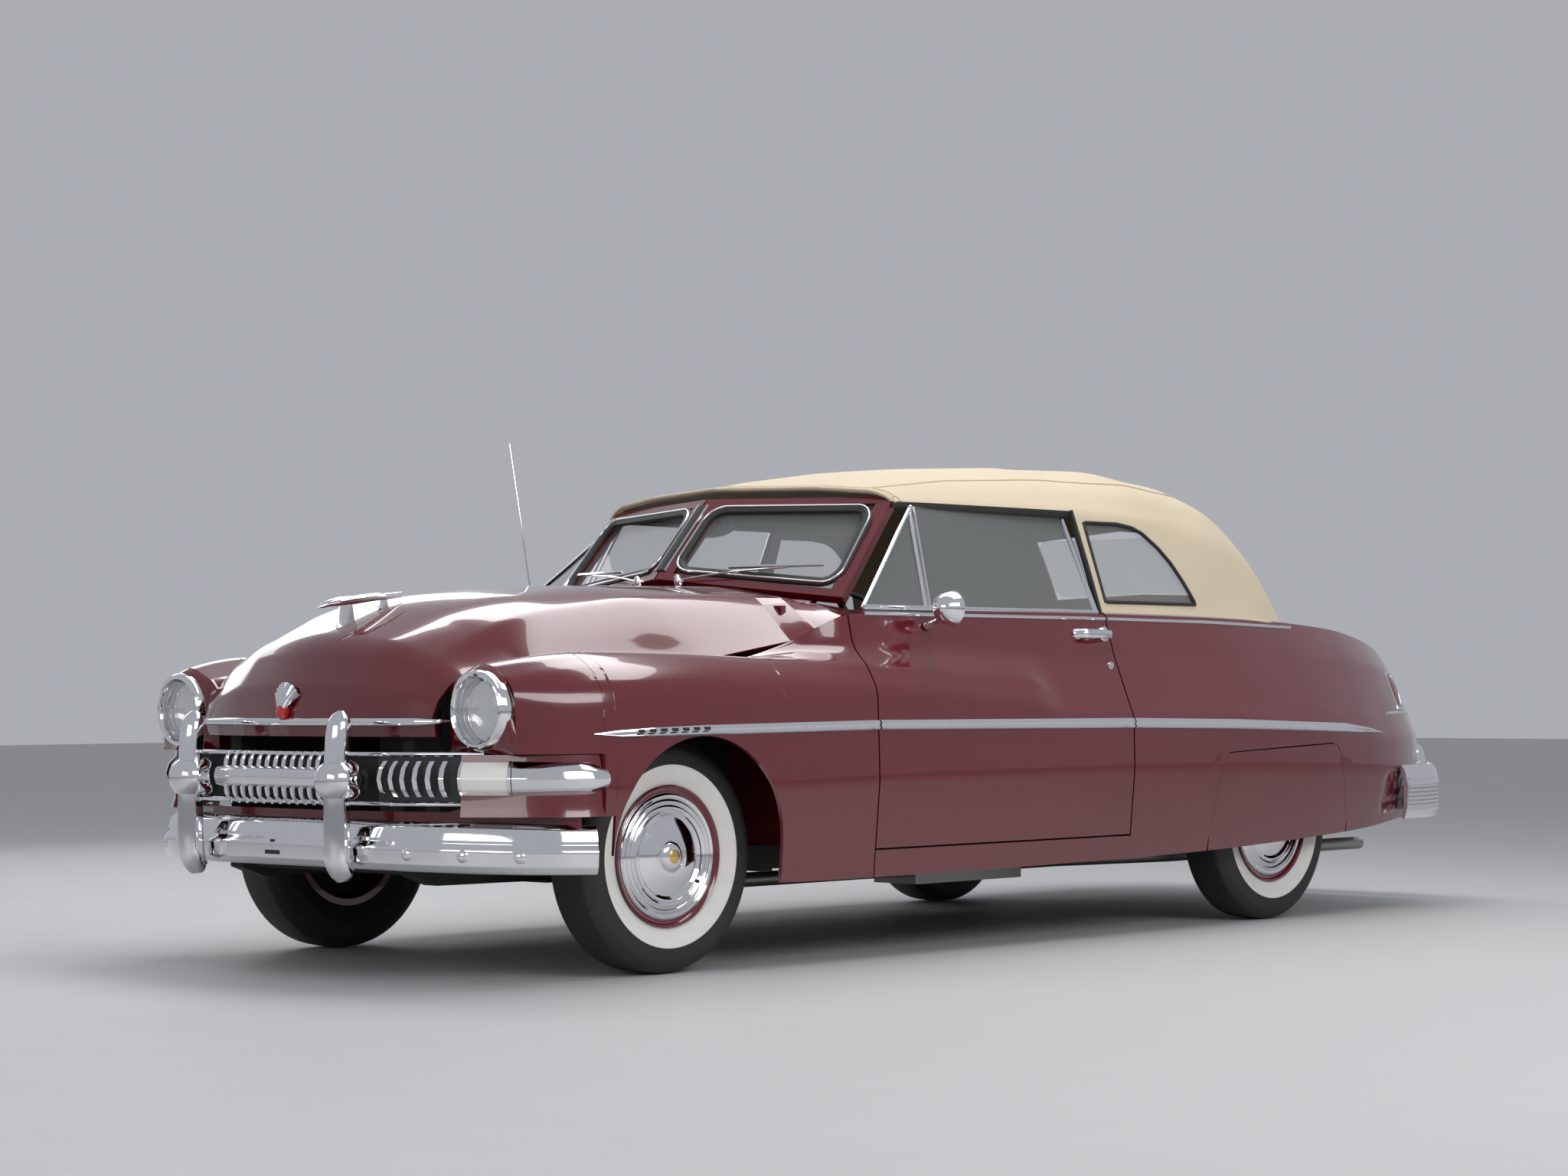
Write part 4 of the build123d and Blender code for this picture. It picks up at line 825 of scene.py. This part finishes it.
for v in mirrorPiece.data.vertices:
    x, y, z = v.co
    v.co = (x * 3.0, y + (mirrorPoint[1]) / 1000, z * 0.85 + mirrorPoint[2] / 1000)
piece("mirrorStem", [sweep([mirrorPoint + [0, -60, 34], mirrorPoint + [0, -2, 10]], disc(5, 10), (1, 0, 0))],
      "chrome", "body")
print("stage: windscreen made")


# door windows, belt mouldings, spear and door hardware
def glassX(z):
    return 843 - (z - 1058) * 0.455


for side, flip in shellSides:
    body = "door_" + side
    front = smoothLine([(glassX(1082) + 2, 824, 1082), (glassX(1240) + 2, 1010, 1240),
                        (glassX(1395) + 2, 1196, 1400), (glassX(1418) + 2, 1222, 1418)], 30)
    post = np.array([(glassX(z) + 3, 1222 - (1418 - z) * 0.27, z) for z in np.linspace(1418, 1082, 16)])
    rearPost = np.array([(glassX(z) + 3, 1990, z) for z in np.linspace(1420, 1082, 12)])
    base = np.array([(glassX(1084) + 6, s, 1084) for s in np.linspace(822, 1990, 40)])
    shells = [sweep(front, bead(15, 9), (1, 0, 0.4)), sweep(post - [0, 10, 0], bead(11, 10), (1, 0, 0.4)),
              sweep(post + [0, 10, 0], bead(9, 9), (1, 0, 0.4)), sweep(rearPost, bead(20, 9), (1, 0, 0.4)),
              sweep(base, bead(14, 12), (0.5, 0, 1))]
    belt = sideRun(812, 2008, 60, lambda s: 1066)
    shells.append(sweep(belt, bead(12, 7), (1, 0, 0.3)))
    handleLine = smoothLine([(sideX(1830, 1012) + 4, 1830, 1012), (sideX(1850, 1012) + 34, 1858, 1014),
                             (sideX(1920, 1012) + 38, 1930, 1014), (sideX(1985, 1012) + 24, 1990, 1013)], 24)
    shells.append(sweep(handleLine, oval(8, 15)))
    for line, s, z, sunk, count in (([(-4, 27), (4, 27), (9, 22), (11, 12), (11, 0)], 1985, 1012, 2, 28),
                                    ([(-4, 20), (4, 20), (8, 15), (9, 0)], 1842, 1012, 2, 24),
                                    ([(-3, 14), (3, 14), (5, 10), (5, 0)], 1978, 906, 1, 24)):
        shells.append(turn(line, (sideX(s, z) - sunk, s, z), (1, 0, 0), count))
    chromed("doorTrim" + side.title(), [flip(shell) for shell in shells], body)

spear = {"s": [-405, -330, -200, 0, 745, 2012, 2600, 3300, 3480, 3597],
         "z": [707, 708, 711, 715, 723, 717, 708, 688, 676, 665],
         "half": [1, 9, 13, 15, 15, 17, 17, 16, 10, 1], "notches": 7, "firstNotch": -250, "notchPitch": 42,
         "section": ((1.0, -3), (0.9, 4), (0.45, 9), (0.1, 10), (-0.15, 6), (-0.35, 7), (-0.75, 11),
                     (-1.0, 6), (-1.05, -3))}


def spearShell(first, last, count):
    points = []
    for s in np.linspace(first, last, count):
        z, h = np.interp(s, spear["s"], spear["z"]), np.interp(s, spear["s"], spear["half"])
        for dz, lift in spear["section"]:
            points.append((sideX(s, z + h * dz) + lift * min(1, h / 9), s, z + h * dz))
    return np.array(points), ringFaces(count, len(spear["section"]))


notches = []
for i in range(spear["notches"]):
    s = spear["firstNotch"] + i * spear["notchPitch"]
    z = np.interp(s, spear["s"], spear["z"]) + 3
    x = sideX(s, z) + 9
    notches.append(sweep([(x, s, z - 4), (x, s, z + 6)], [(-2, -11), (2.2, -11), (2.2, 11), (-2, 11)],
                         (0, 1, 0)))
chromed("spearFront", pair(spearShell(-405, 744, 60)))
piece("spearNotches", pair(*notches), "rubber", "body")
for side, flip in shellSides:
    chromed("spearDoor" + side.title(), [flip(spearShell(751, 2009, 50))], "door_" + side)
quarterBelt = sideRun(2018, 3150, 60, lambda s: np.interp(s, [2018, 2600, 3160], [1066, 1062, 1050]))
rearBelt = smoothLine([quarterBelt[-1], (700, 3240, 1062), (560, 3350, 1076), (300, 3425, 1088),
                       (0, 3436, 1092)], 40)
chromed("spearRear", pair(spearShell(2016, 3597, 70), sweep(quarterBelt, bead(12, 7), (1, 0, 0.3)),
                          sweep(quarterBelt + [-16, 0, 16], bead(10, 7), (1, 0, 0.6)),
                          sweep(rearBelt, bead(12, 7), (0.4, 0.2, 1))))
head = turn([(-46, 0), (-44, 14), (-38, 26), (-24, 40), (0, 52), (14, 56), (20, 57), (22, 54)],
            (960, 1080, 1085), (0, 1, 0), 40)
foot = sweep(smoothLine([(868, 1094, 1030), (905, 1092, 1040), (950, 1080, 1066)], 16), oval(9, 15),
             (0, 1, 0), np.linspace(1.5, 0.9, 16))
chromed("doorMirrorChrome", [head, foot], "door_left", replaces=("door_mirror",))
print("stage: side trims made")

# wheels
tyreLoop = rounded([(-62, 191), (-68, 214), (-88, 262), (-86, 312), (-64, 341), (0, 345), (64, 341),
                    (86, 312), (88, 262), (68, 214), (62, 191)],
                   [0, 30, 40, 40, 22, 900, 22, 40, 40, 30, 0], 8, 3)
rimLine = [(-72, 186), (-73, 207), (-69, 208), (-62, 192), (62, 192), (70, 207), (76, 209), (79, 205),
           (76, 199), (68, 192), (66, 184)]
coverLine = [(60, 189), (68, 189), (74, 185), (77, 179), (74, 172), (71, 170), (76, 166), (78, 161),
             (75, 155), (72, 153), (77, 149), (79, 144), (76, 138), (72, 136), (76, 132), (77, 127),
             (72, 120), (70, 117), (74, 104), (80, 86), (85, 66), (88, 52), (88, 48), (86, 46), (88, 44),
             (93, 40), (97, 30), (99, 22)]
hubLine = [(96, 21), (99, 21), (102, 14), (103, 0)]
backLine = [(20, 184), (24, 172), (40, 120), (44, 60), (44, 0), (38, 0), (38, 60), (34, 118), (18, 170),
            (14, 184)]
wheelPlaces = {"front": (743, 0, "tyreFront"), "rear": (762, 2997, "tyreRear"), "z": 345, "valveDown": 78}
for body in ("front_left", "front_right", "rear_left", "rear_right"):
    x, s, look = wheelPlaces[body.split("_")[0]]
    x = x if body.endswith("left") else -x
    out = (1 if x > 0 else -1, 0, 0)
    centre, wheelBody = (x, s, wheelPlaces["z"]), "wheel_" + body
    piece("tyre_" + body + "_white", [turn(tyreLoop, centre, out, 96, closed=True)], look, wheelBody,
          slot="tyre", replaces=("tyre_" + body,))
    piece("rim_" + body, [turn(rimLine, centre, out, 72, closed=True)], "paint", wheelBody,
          replaces=("wheel_" + body,))
    piece("rimBack_" + body, [turn(backLine, centre, out, 48, closed=True)], "under", wheelBody)
    piece("cover_" + body, [turn(coverLine, centre, out, 96)], "chrome", wheelBody, slot="wheel_cover",
          replaces=("wheel_" + body,))
    piece("hubCentre_" + body, [turn(hubLine, centre, out, 32)], "gold", wheelBody)
    piece("valve_" + body, [turn([(70, 6), (79, 6), (80, 4), (80, 0)],
                                 (x, s + 115, wheelPlaces["z"] - wheelPlaces["valveDown"]), out, 12)],
          "rubber", wheelBody)
print("stage: wheels made")

# nose of each front fender with its headlamp
lamp = {"x": 706.0, "z": 774.0, "hole": 111.0, "lip": 104, "front": -602, "bulge": 22}
edge = sideSection(-603)
edge = edge[edge[:, 1] > 655]
outline = np.concatenate([[(548, 745), (556, 748), (556, 840)],
                          edge[edge[:, 1] > 862] if edge[0, 1] < 862 else edge, edge[-1:],
                          [(838, 652), (548, 652)]])
turns = np.linspace(0, 2 * math.pi, 96, endpoint=False)


def outlineReach(angle):
    best = 400.0
    d = np.array([math.cos(angle), math.sin(angle)])
    ring = np.concatenate([outline, outline[:1]])
    for a, b in zip(ring, ring[1:]):
        m = np.array([[d[0], a[0] - b[0]], [d[1], a[1] - b[1]]])
        if abs(np.linalg.det(m)) < 1e-6:
            continue
        t, u = np.linalg.solve(m, a - [lamp["x"], lamp["z"]])
        if t > 0 and -1e-6 <= u <= 1 + 1e-6:
            best = min(best, t)
    return best


reach = np.array([outlineReach(a) for a in turns])
rings, steps = [], 12
for k in range(steps + 1):
    f = k / steps
    r = reach + (lamp["hole"] - reach) * f
    s = lamp["front"] - lamp["bulge"] * math.sin(f * math.pi / 2)
    rings.append([(lamp["x"] + rr * math.cos(a), s, lamp["z"] + rr * math.sin(a)) for rr, a in zip(r, turns)])
rings.append([(lamp["x"] + lamp["lip"] * math.cos(a), -590, lamp["z"] + lamp["lip"] * math.sin(a))
              for a in turns])
nose = np.array(rings)
count = len(turns)
noseFaces = ringFaces(len(nose), count, caps=False)
back = nose + [0, 8, 0]
noseAll = np.concatenate([nose.reshape(-1, 3), back.reshape(-1, 3)])
total = nose.shape[0] * count
noseFaces += [tuple(v + total for v in f[::-1]) for f in noseFaces]
noseFaces += [(j, (j + 1) % count, (j + 1) % count + total, j + total) for j in range(count)]
last = (nose.shape[0] - 1) * count
noseFaces += [(last + j, last + (j + 1) % count, last + (j + 1) % count + total, last + j + total)
              for j in range(count)]
for side, flip in shellSides:
    piece("fenderNose" + side.title(), [flip((noseAll, noseFaces))], "paint", "body", slot="paint",
          replaces=("front_fender_" + side,))
bezelLine = [(-552, 104), (-556, 112), (-590, 115), (-616, 116), (-632, 113), (-643, 108), (-647, 102),
             (-644, 96), (-634, 91), (-618, 89), (-600, 88), (-596, 92), (-596, 100)]
lampCentre = (lamp["x"], 0, lamp["z"])
bezel = turn([(-p, r) for p, r in bezelLine], lampCentre, (0, -1, 0), 72, closed=True)
visorPath = np.array([(lamp["x"] + 104 * math.cos(t), -634, lamp["z"] + 104 * math.sin(t))
                      for t in np.linspace(0.1, math.pi - 0.1, 40)])
visor = sweep(visorPath, oval(12, 20, 12), (0, 1, 0), np.sin(np.linspace(0.12, math.pi - 0.12, 40))**0.6)
chromed("headlampBezels", pair(bezel, visor), replaces=("headlamp_bezels",))
lensShell = turn([(601, 86), (608, 86), (618, 83), (626, 72), (632, 52), (635, 28), (636, 0)], lampCentre,
                 (0, -1, 0), 64)
bowl = turn([(596, 90), (598, 86), (580, 76), (560, 54), (548, 26), (546, 12), (572, 11), (574, 0)],
            lampCentre, (0, -1, 0), 48)
piece("headlampBowls", pair(bowl), "chrome", "body")
piece("headlampLenses", pair(lensShell), "lampGlass", "body", slot="glass", replaces=("front_lamp_lenses",))
gutterAt = np.linspace(-560, 560, 60)
gutterLine = np.array([(sideSection(s)[0, 0] - 10, s, sideSection(s)[0, 1] - 12) for s in gutterAt])
piece("hoodGutters", pair(sweep(gutterLine, [(-26, -2), (16, 6), (16, 2), (-26, -6)])), "paint", "body")
print("stage: headlamps made")

# grille, parking lamps, guards and bumpers
grille = {"z": 582, "outerTeeth": 6, "firstOuter": 448, "outerPitch": 38, "outerWide": 14,
          "centreTeeth": 14, "firstCentre": -260, "centrePitch": 40,
          "toothRows": ((-6.5, 0.0), (-5.0, 3.0), (0.0, 5.0), (5.0, 3.0), (6.5, 0.0))}
outerPath = [(411, -795), (520, -768), (617, -730), (700, -690), (780, -640), (860, -575), (925, -500),
             (960, -425), (966, -368)]
chevron = rounded([(-74, 60), (-36, 56), (-8, 30), (2, 0), (-8, -30), (-36, -56), (-74, -60)],
                  [0, 26, 18, 14, 18, 26, 0], 5, 2)


def runLine(x0, x1, z, count, lift=0.0):
    curve = smoothLine(outerPath, 400)
    xs = np.linspace(x0, x1, count)
    s = np.interp(xs, curve[:, 0], curve[:, 1])
    slope = np.interp(xs, curve[:, 0], np.gradient(curve[:, 1], curve[:, 0]))
    n = np.stack([slope, -np.ones(count)], 1) / np.sqrt(slope**2 + 1)[:, None]
    return np.stack([xs + n[:, 0] * lift, s + n[:, 1] * lift, np.full(count, float(z))], 1)


teeth = [sweep(runLine(x, x + grille["outerWide"], grille["z"], 4), chevron)
         for x in (grille["firstOuter"] + grille["outerPitch"] * i for i in range(grille["outerTeeth"]))]
# dark plate behind the outer teeth: painted shade of the grille opening
shadeBacking = sweep(runLine(430, 822, grille["z"], 30), [(-40, 62), (-32, 62), (-32, -62), (-40, -62)])
bulletLine = np.concatenate([runLine(820, 958, grille["z"], 16), runLine(962, 966, grille["z"], 3)])
bullet = sweep(bulletLine, chevron, (0, 0, 1), list(np.linspace(1.0, 0.86, 16)) + [0.78, 0.62, 0.42])
toothSection = rounded([(-752, 504), (-768, 500), (-786, 528), (-795, 582), (-786, 636), (-766, 660),
                        (-752, 656), (-768, 630), (-774, 582), (-768, 534), (-752, 504)],
                       [0, 8, 30, 50, 30, 8, 3, 20, 40, 20, 0], 4, 2)[:-1]
middle = []
for i in range(grille["centreTeeth"]):
    x = grille["firstCentre"] + grille["centrePitch"] * i
    points = [(x + dx, s - lift, z) for dx, lift in grille["toothRows"] for s, z in toothSection]
    middle.append((np.array(points), ringFaces(len(grille["toothRows"]), len(toothSection))))
barSection = rounded([(0, -30), (18, -24), (24, 0), (18, 24), (0, 30), (-22, 20), (-28, 0), (-22, -20),
                      (0, -30)], [0, 10, 12, 10, 0, 8, 8, 8, 0], 4, 2)[:-1]
barLine = [(x, s, grille["z"]) for x, s in ((-278, -794), (-150, -798), (0, -800), (150, -798), (278, -794))]
bar = sweep(smoothLine(barLine, 40), barSection)
frameLine = [(0, -768), (250, -762), (430, -742), (560, -694), (640, -644), (700, -604)]
frameBars = [sweep(smoothLine([(x, s, z) for x, s in frameLine], 40), bead(14, 7), (0.35, -1, 0))
             for z in (511, 651)]
chromed("grilleTeeth", pair(*teeth, bullet) + middle + [bar] + pair(*frameBars), replaces=("grille",))
parking = sweep(runLine(696, 812, grille["z"], 20, -2), chevron)
piece("parkingLenses", pair(parking), "whiteLens", "body", replaces=("front_lamp_lenses",))
grooves = [sweep(runLine(x, x + 7, grille["z"], 3, 1), chevron) for x in (690, 811)]
chromed("parkingFrames", pair(*grooves))
# dark sheet behind the centre teeth and the plate above, both in the rubber look: painted shade of the grille
# opening
darkness = sweep(smoothLine([(x, s + 26, grille["z"]) for x, s in frameLine], 20),
                 [(-2, -70), (2, -70), (2, 70), (-2, 70)])
piece("grilleShade", pair(darkness, shadeBacking), "rubber", "body")
under = sweep(runLine(690, 966, 566, 40), [(-44, 84), (-32, 84), (-26, 40), (-26, -60), (-18, -90),
                                           (-30, -92), (-38, -60)])
for side, flip in shellSides:
    piece("fenderUnder" + side.title(), [flip(under)], "paint", "body", slot="paint",
          replaces=("front_fender_" + side,))


def bumperShell(path, section, fall, count=70):
    line = smoothLine([(x, s, 0.0) for x, s in path], count)
    line[:, 2] = -fall * (line[:, 0] / line[-1, 0])**2
    return sweep(line, section)


frontPath = [(0, -806), (250, -800), (450, -772), (640, -712), (790, -622), (900, -500), (950, -410)]
frontSection = rounded([(-34, 330), (-8, 324), (8, 348), (11, 392), (0, 410), (-1, 420), (-10, 452),
                        (-34, 468), (-43, 460), (-22, 446), (-12, 400), (-8, 350), (-34, 340), (-34, 330)],
                        [0, 14, 16, 20, 6, 8, 18, 8, 4, 10, 20, 14, 3, 0], 5, 2)[:-1]
shells = [bumperShell(frontPath, frontSection, 14)]


def guardShell(x, rows, count=40):
    keys = [r[0] for r in rows]
    z = np.linspace(keys[0], keys[-1], count)
    fine = monotone(keys, np.array([r[1:] for r in rows], float), z)
    scale = fine[:, 1].copy()
    return sweep(np.stack([np.full(count, x), fine[:, 0], z], 1), disc(1, 28), (0, 1, 0), scale)


shells.append(guardShell(349.0, [(298, -812, 12), (304, -816, 26), (318, -832, 34), (360, -850, 38),
                                 (500, -852, 37), (640, -850, 36), (700, -846, 36), (740, -840, 33),
                                 (764, -834, 22), (774, -832, 10)]))
bulb = monotone([-915, -906, -888, -858, -820, -772], np.array([8, 34, 52, 62, 60, 44], float),
                np.linspace(-915, -772, 24))
shells.append(turn([(-p, r) for p, r in zip(np.linspace(-915, -772, 24), bulb.reshape(-1))], (349, 0, 578),
                   (0, -1, 0), 48))
for x in (540, 700, 830):
    curve = smoothLine(frontPath, 200)
    s = float(np.interp(x, curve[:, 0], curve[:, 1]))
    slope = float(np.interp(x, curve[:, 0], np.gradient(curve[:, 1], curve[:, 0])))
    n = Vector((slope, -1, 0)).normalized()
    spot = (x, s, 376 - 14 * (x / 950)**2)
    shells.append(turn([(4, 19), (8, 19), (13, 15), (16, 8), (17, 0)], spot, n, 28))
chromed("frontBumperChrome", pair(*shells), replaces=("front_bumper",))
plate = [sweep([(-34, -812.5, 364), (34, -812.5, 364)], [(-3, -6), (3, -6), (3, 6), (-3, 6)]),
         sweep([(-9, -812.5, 392), (9, -812.5, 392)], [(-3, -9), (3, -9), (3, 9), (-3, 9)])]
piece("bumperSlots", plate, "rubber", "body")

rearRibs = {"count": 9, "first": 372, "pitch": 15}
rearPath = [(0, 4330), (300, 4326), (520, 4296), (700, 4222), (838, 4085), (920, 3900), (946, 3700)]
rearSection = rounded([(18, 350), (4, 336), (-8, 380), (-11, 470), (0, 520), (18, 545), (26, 536), (12, 512),
                       (6, 470), (6, 390), (18, 350)],
                      [0, 10, 30, 40, 24, 6, 6, 20, 30, 30, 0], 5, 2)[:-1]
rearShells = [bumperShell(rearPath, rearSection, 0, 80)]
rearShells.append(guardShell(620.0, [(328, 4262, 14), (340, 4266, 26), (400, 4282, 38), (540, 4284, 38),
                                     (590, 4276, 30), (612, 4266, 12)]))
curve = smoothLine(rearPath, 300)
ribS = np.linspace(3720, 4010, 16)
order = np.argsort(curve[:, 1])
ribX = np.interp(ribS, curve[order, 1], curve[order, 0])
for i in range(rearRibs["count"]):
    z = rearRibs["first"] + i * rearRibs["pitch"]
    rearShells.append(sweep(np.stack([ribX + 9, ribS, np.full(16, float(z))], 1), bead(7, 5), (1, 0.25, 0)))
chromed("rearBumperChrome", pair(*rearShells), replaces=("rear_bumper",))

# tail lamps
lampGrid = sideGrid(np.linspace(3862, 3990, 30), high=lambda s: 886, low=lambda s: 754, count=30)
swell = np.outer(np.sin(np.linspace(0, math.pi, 30))**0.5, np.sin(np.linspace(0, math.pi, 30))**0.5)
rise = lampGrid.copy()
rise[:, :, 0] += 2 + swell * 12
core = lampGrid.copy()
core[:, :, 0] -= 26
for side, flip in gridSides:
    closedPanel("tailLens" + side, flip(rise[12:]), flip(core[12:]), "redLens", "body",
                replaces=("tail_lamps",), slot="red_lens")
    closedPanel("tailHousing" + side, flip(rise[:12]), flip(core[:12]), "paint", "body",
                replaces=("tail_lamps",))
rimPath = (np.concatenate([lampGrid[:, 0], lampGrid[29, 1:], lampGrid[28::-1, 29], lampGrid[0, 28:0:-1]])
           - [0, frontAxleY, 0])
divider = rise[12] - [0, frontAxleY, 0]
strip = sideRun(3705, 4000, 24, lambda s: 736)
chromed("tailLampChrome", pair(sweep(rimPath, disc(5, 10), (1, 0, 0), closed=True),
                               sweep(divider, disc(4.5, 8), (1, 0, 0)),
                               sweep(strip, bead(12, 6), (1, 0.2, 0))))
print("stage: ends made")

# hood lip, emblem, ornament and antenna
lipLine = [(0, -777, 742), (250, -750, 742), (430, -710, 742), (520, -676, 742), (552, -655, 743),
           (566, -600, 745)]
lip = sweep(smoothLine(lipLine, 60), oval(8, 11), (0, 0, 1),
            list(np.ones(48)) + list(np.linspace(1, 0.25, 12)))
ribs = []
for i in range(9):
    a = math.radians(-52 + 13 * i)
    top = (math.sin(a) * 66, -762 + abs(math.sin(a)) * 8, 772 + math.cos(a) * 84)
    ribs.append(sweep(smoothLine([(math.sin(a) * 16, -782, 772 + math.cos(a) * 12),
                                  (top[0] * 0.6, top[1] - 13, 772 + (top[2] - 772) * 0.6), top], 8),
                      disc(6.5, 8), (0, 1, 0), np.linspace(0.7, 1.1, 8)))
chromed("noseEmblemFan", ribs, "hood")
piece("noseEmblemGem", [turn([(-10, 22), (4, 22), (11, 16), (15, 0)], (0, -778, 772), (0, -1, 0.2), 24)],
      "redLens", "hood")
spine = smoothLine([(0, -645, 1078), (0, -600, 1092), (0, -520, 1102), (0, -420, 1112), (0, -328, 1116)], 40)
girth = np.interp(np.linspace(0, 1, 40), [0, 0.06, 0.25, 0.5, 0.8, 1], [1.5, 8, 14, 12, 8, 2])
ornament = [sweep(spine, disc(1, 20), (0, 0, 1), girth)]
for dx in (1, -1):
    wing = smoothLine([(dx * 4, -585, 1094), (dx * 26, -520, 1106), (dx * 44, -440, 1120),
                       (dx * 52, -372, 1128)], 20)
    ornament.append(sweep(wing, oval(10, 2.4, 12), (0, 0, 1),
                          np.interp(np.linspace(0, 1, 20), [0, 0.3, 1], [0.5, 1.6, 0.5])))
ornament.append(sweep([(0, -540, 1100), (0, -540, 1030), (0, -540, 1020)], oval(8, 34, 16), (0, 1, 0),
                      [0.7, 1.0, 1.1]))
ornament.append(sweep([(0, -400, 1112), (0, -400, 1080)], oval(6, 22, 16), (0, 1, 0), [0.7, 1.0]))
chromed("hoodOrnamentChrome", ornament, "hood", replaces=("hood_ornament",))
chromed("hoodLip", pair(lip), "hood")
mast = sweep([(-600, 736, 1108), (-626, 706, 1400), (-651, 677, 1672)], disc(2.0, 8), (1, 0, 0),
             [1.6, 1.1, 0.8])
mastFoot = turn([(0, 17), (10, 15), (20, 9), (30, 5), (32, 0)], (-600, 736, 1100), (0, 0, 1), 20)
chromed("antenna", [mast, mastFoot])
print("stage: hood trims made")


# seats: crowned closed forms with sewn channels
seatLook = {"channels": 12, "channelDeep": 7, "square": 6.0}


def pillow(name, node, low, high, across, lean=0.0, crown=18.0):
    low, high = np.array(low, float), np.array(high, float)
    centre, size = (low + high) / 2, (high - low) / 2
    bm = bmesh.new()
    bmesh.ops.create_cube(bm, size=2.0)
    bmesh.ops.subdivide_edges(bm, edges=bm.edges, cuts=31, use_grid_fill=True)
    for v in bm.verts:
        u = np.array(v.co)
        length = max((abs(u)**seatLook["square"]).sum()**(1 / seatLook["square"]), 1e-6)
        r = u / length * (abs(u).max())
        q = r * size
        flat = [i for i in range(3) if i != across]
        share = max(0.0, 1 - abs(u[flat[0]])**2) * max(0.0, 1 - abs(u[flat[1]])**2)
        q[across] += crown * share * (1 if r[across] > 0 else 0.3 * -1)
        groove = abs(math.sin(math.pi * seatLook["channels"] * (u[0] + 1) / 2))**0.5
        q[across] -= seatLook["channelDeep"] * (1 - groove) * max(0.0, r[across])
        if across == 1:
            q[1] += lean * (q[2] / size[2])
        v.co = tuple((centre + q + [0, frontAxleY, 0]) / 1000)
    finished(name, bm, ["vinyl"], "body", replaces=(node,), slot="seat", angle=60)


def seatPair(prefix, node, deep, tall):
    lo, hi = [np.array(v, float) * 1000 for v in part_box(node)]
    lo[1] -= frontAxleY
    hi[1] -= frontAxleY
    cushion = lo[2] + tall
    pillow(prefix + "Cushion", node, (lo[0] + 4, lo[1] + 4, lo[2] + 20),
           (hi[0] - 4, hi[1] - deep, cushion), 2)
    pillow(prefix + "Back", node, (lo[0] + 4, hi[1] - deep - 30, cushion - 30),
           (hi[0] - 4, hi[1] - 30, hi[2] - 10), 1, 24, -14)


seatPair("frontSeat", "front_seat", 150, 330)
seatPair("rearSeat", "rear_seat", 150, 240)
print("stage: seats made")

# carried-over CAD nodes
nodeLooks = {
    "paint": ["body_tub", "front_valance", "windshield_frame"],
    "glass": ["windshield_glass", "door_glass_left", "door_glass_right", "quarter_glass"],
    "under": ["chassis_frame", "rear_axle", "driveshaft", "fuel_tank", "knuckle_left", "knuckle_right",
              "engine_bay_sides"],
    "carpet": ["floor_pan"],
    "steel": ["exhaust"],
    "iron": ["engine"],
    "dashPaint": ["dashboard"],
    "plastic": ["steering_wheel"],
}
for look, names in nodeLooks.items():
    for name in names:
        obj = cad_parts[name]
        if not obj.hide_render:
            wear(obj, look)
print("stage: CAD nodes coloured")

# studio
studio = {"floor": (0.52, 0.52, 0.52), "key": 170.0, "fill": 80.0, "top": 230.0, "world": 0.45}


def panelLight(name, spot, target, size, power):
    data = bpy.data.lights.new(name, "AREA")
    data.shape, data.size, data.size_y, data.energy = "RECTANGLE", size[0], size[1], power
    light = bpy.data.objects.new(name, data)
    scene.collection.objects.link(light)
    light.location = spot
    light.rotation_euler = (Vector(target) - Vector(spot)).to_track_quat("-Z", "Y").to_euler()


panelLight("topLight", (0, 0.5, 5.2), (0, 0, 0), (7, 2.2), studio["top"])
panelLight("keyLight", (7, -2, 3.6), (0, 0, 0.7), (5, 2.2), studio["key"])
panelLight("frontLight", (2.5, -8.5, 2.8), (0, -1, 0.7), (5, 2.0), studio["fill"])
panelLight("farLight", (-7, 1, 3.4), (0, 0, 0.8), (6, 2.0), studio["fill"])
world = bpy.data.worlds.new("studioWorld")
scene.world = world
world.use_nodes = True
world.node_tree.nodes["Background"].inputs[0].default_value = (0.9, 0.93, 1.0, 1)
world.node_tree.nodes["Background"].inputs[1].default_value = studio["world"]
floorMesh = bpy.data.meshes.new("floor")
floorMesh.from_pydata([(-40, -40, 0), (40, -40, 0), (40, 40, 0), (-40, 40, 0)], [], [(0, 1, 2, 3)])
floor = bpy.data.objects.new("floor", floorMesh)
scene.collection.objects.link(floor)
looks["floor"] = dull("studioFloor", studio["floor"], (0.5, 0.5, 0.5), 0.55, 3, 0.0002)
wear(floor, "floor")
print("stage: studio made")
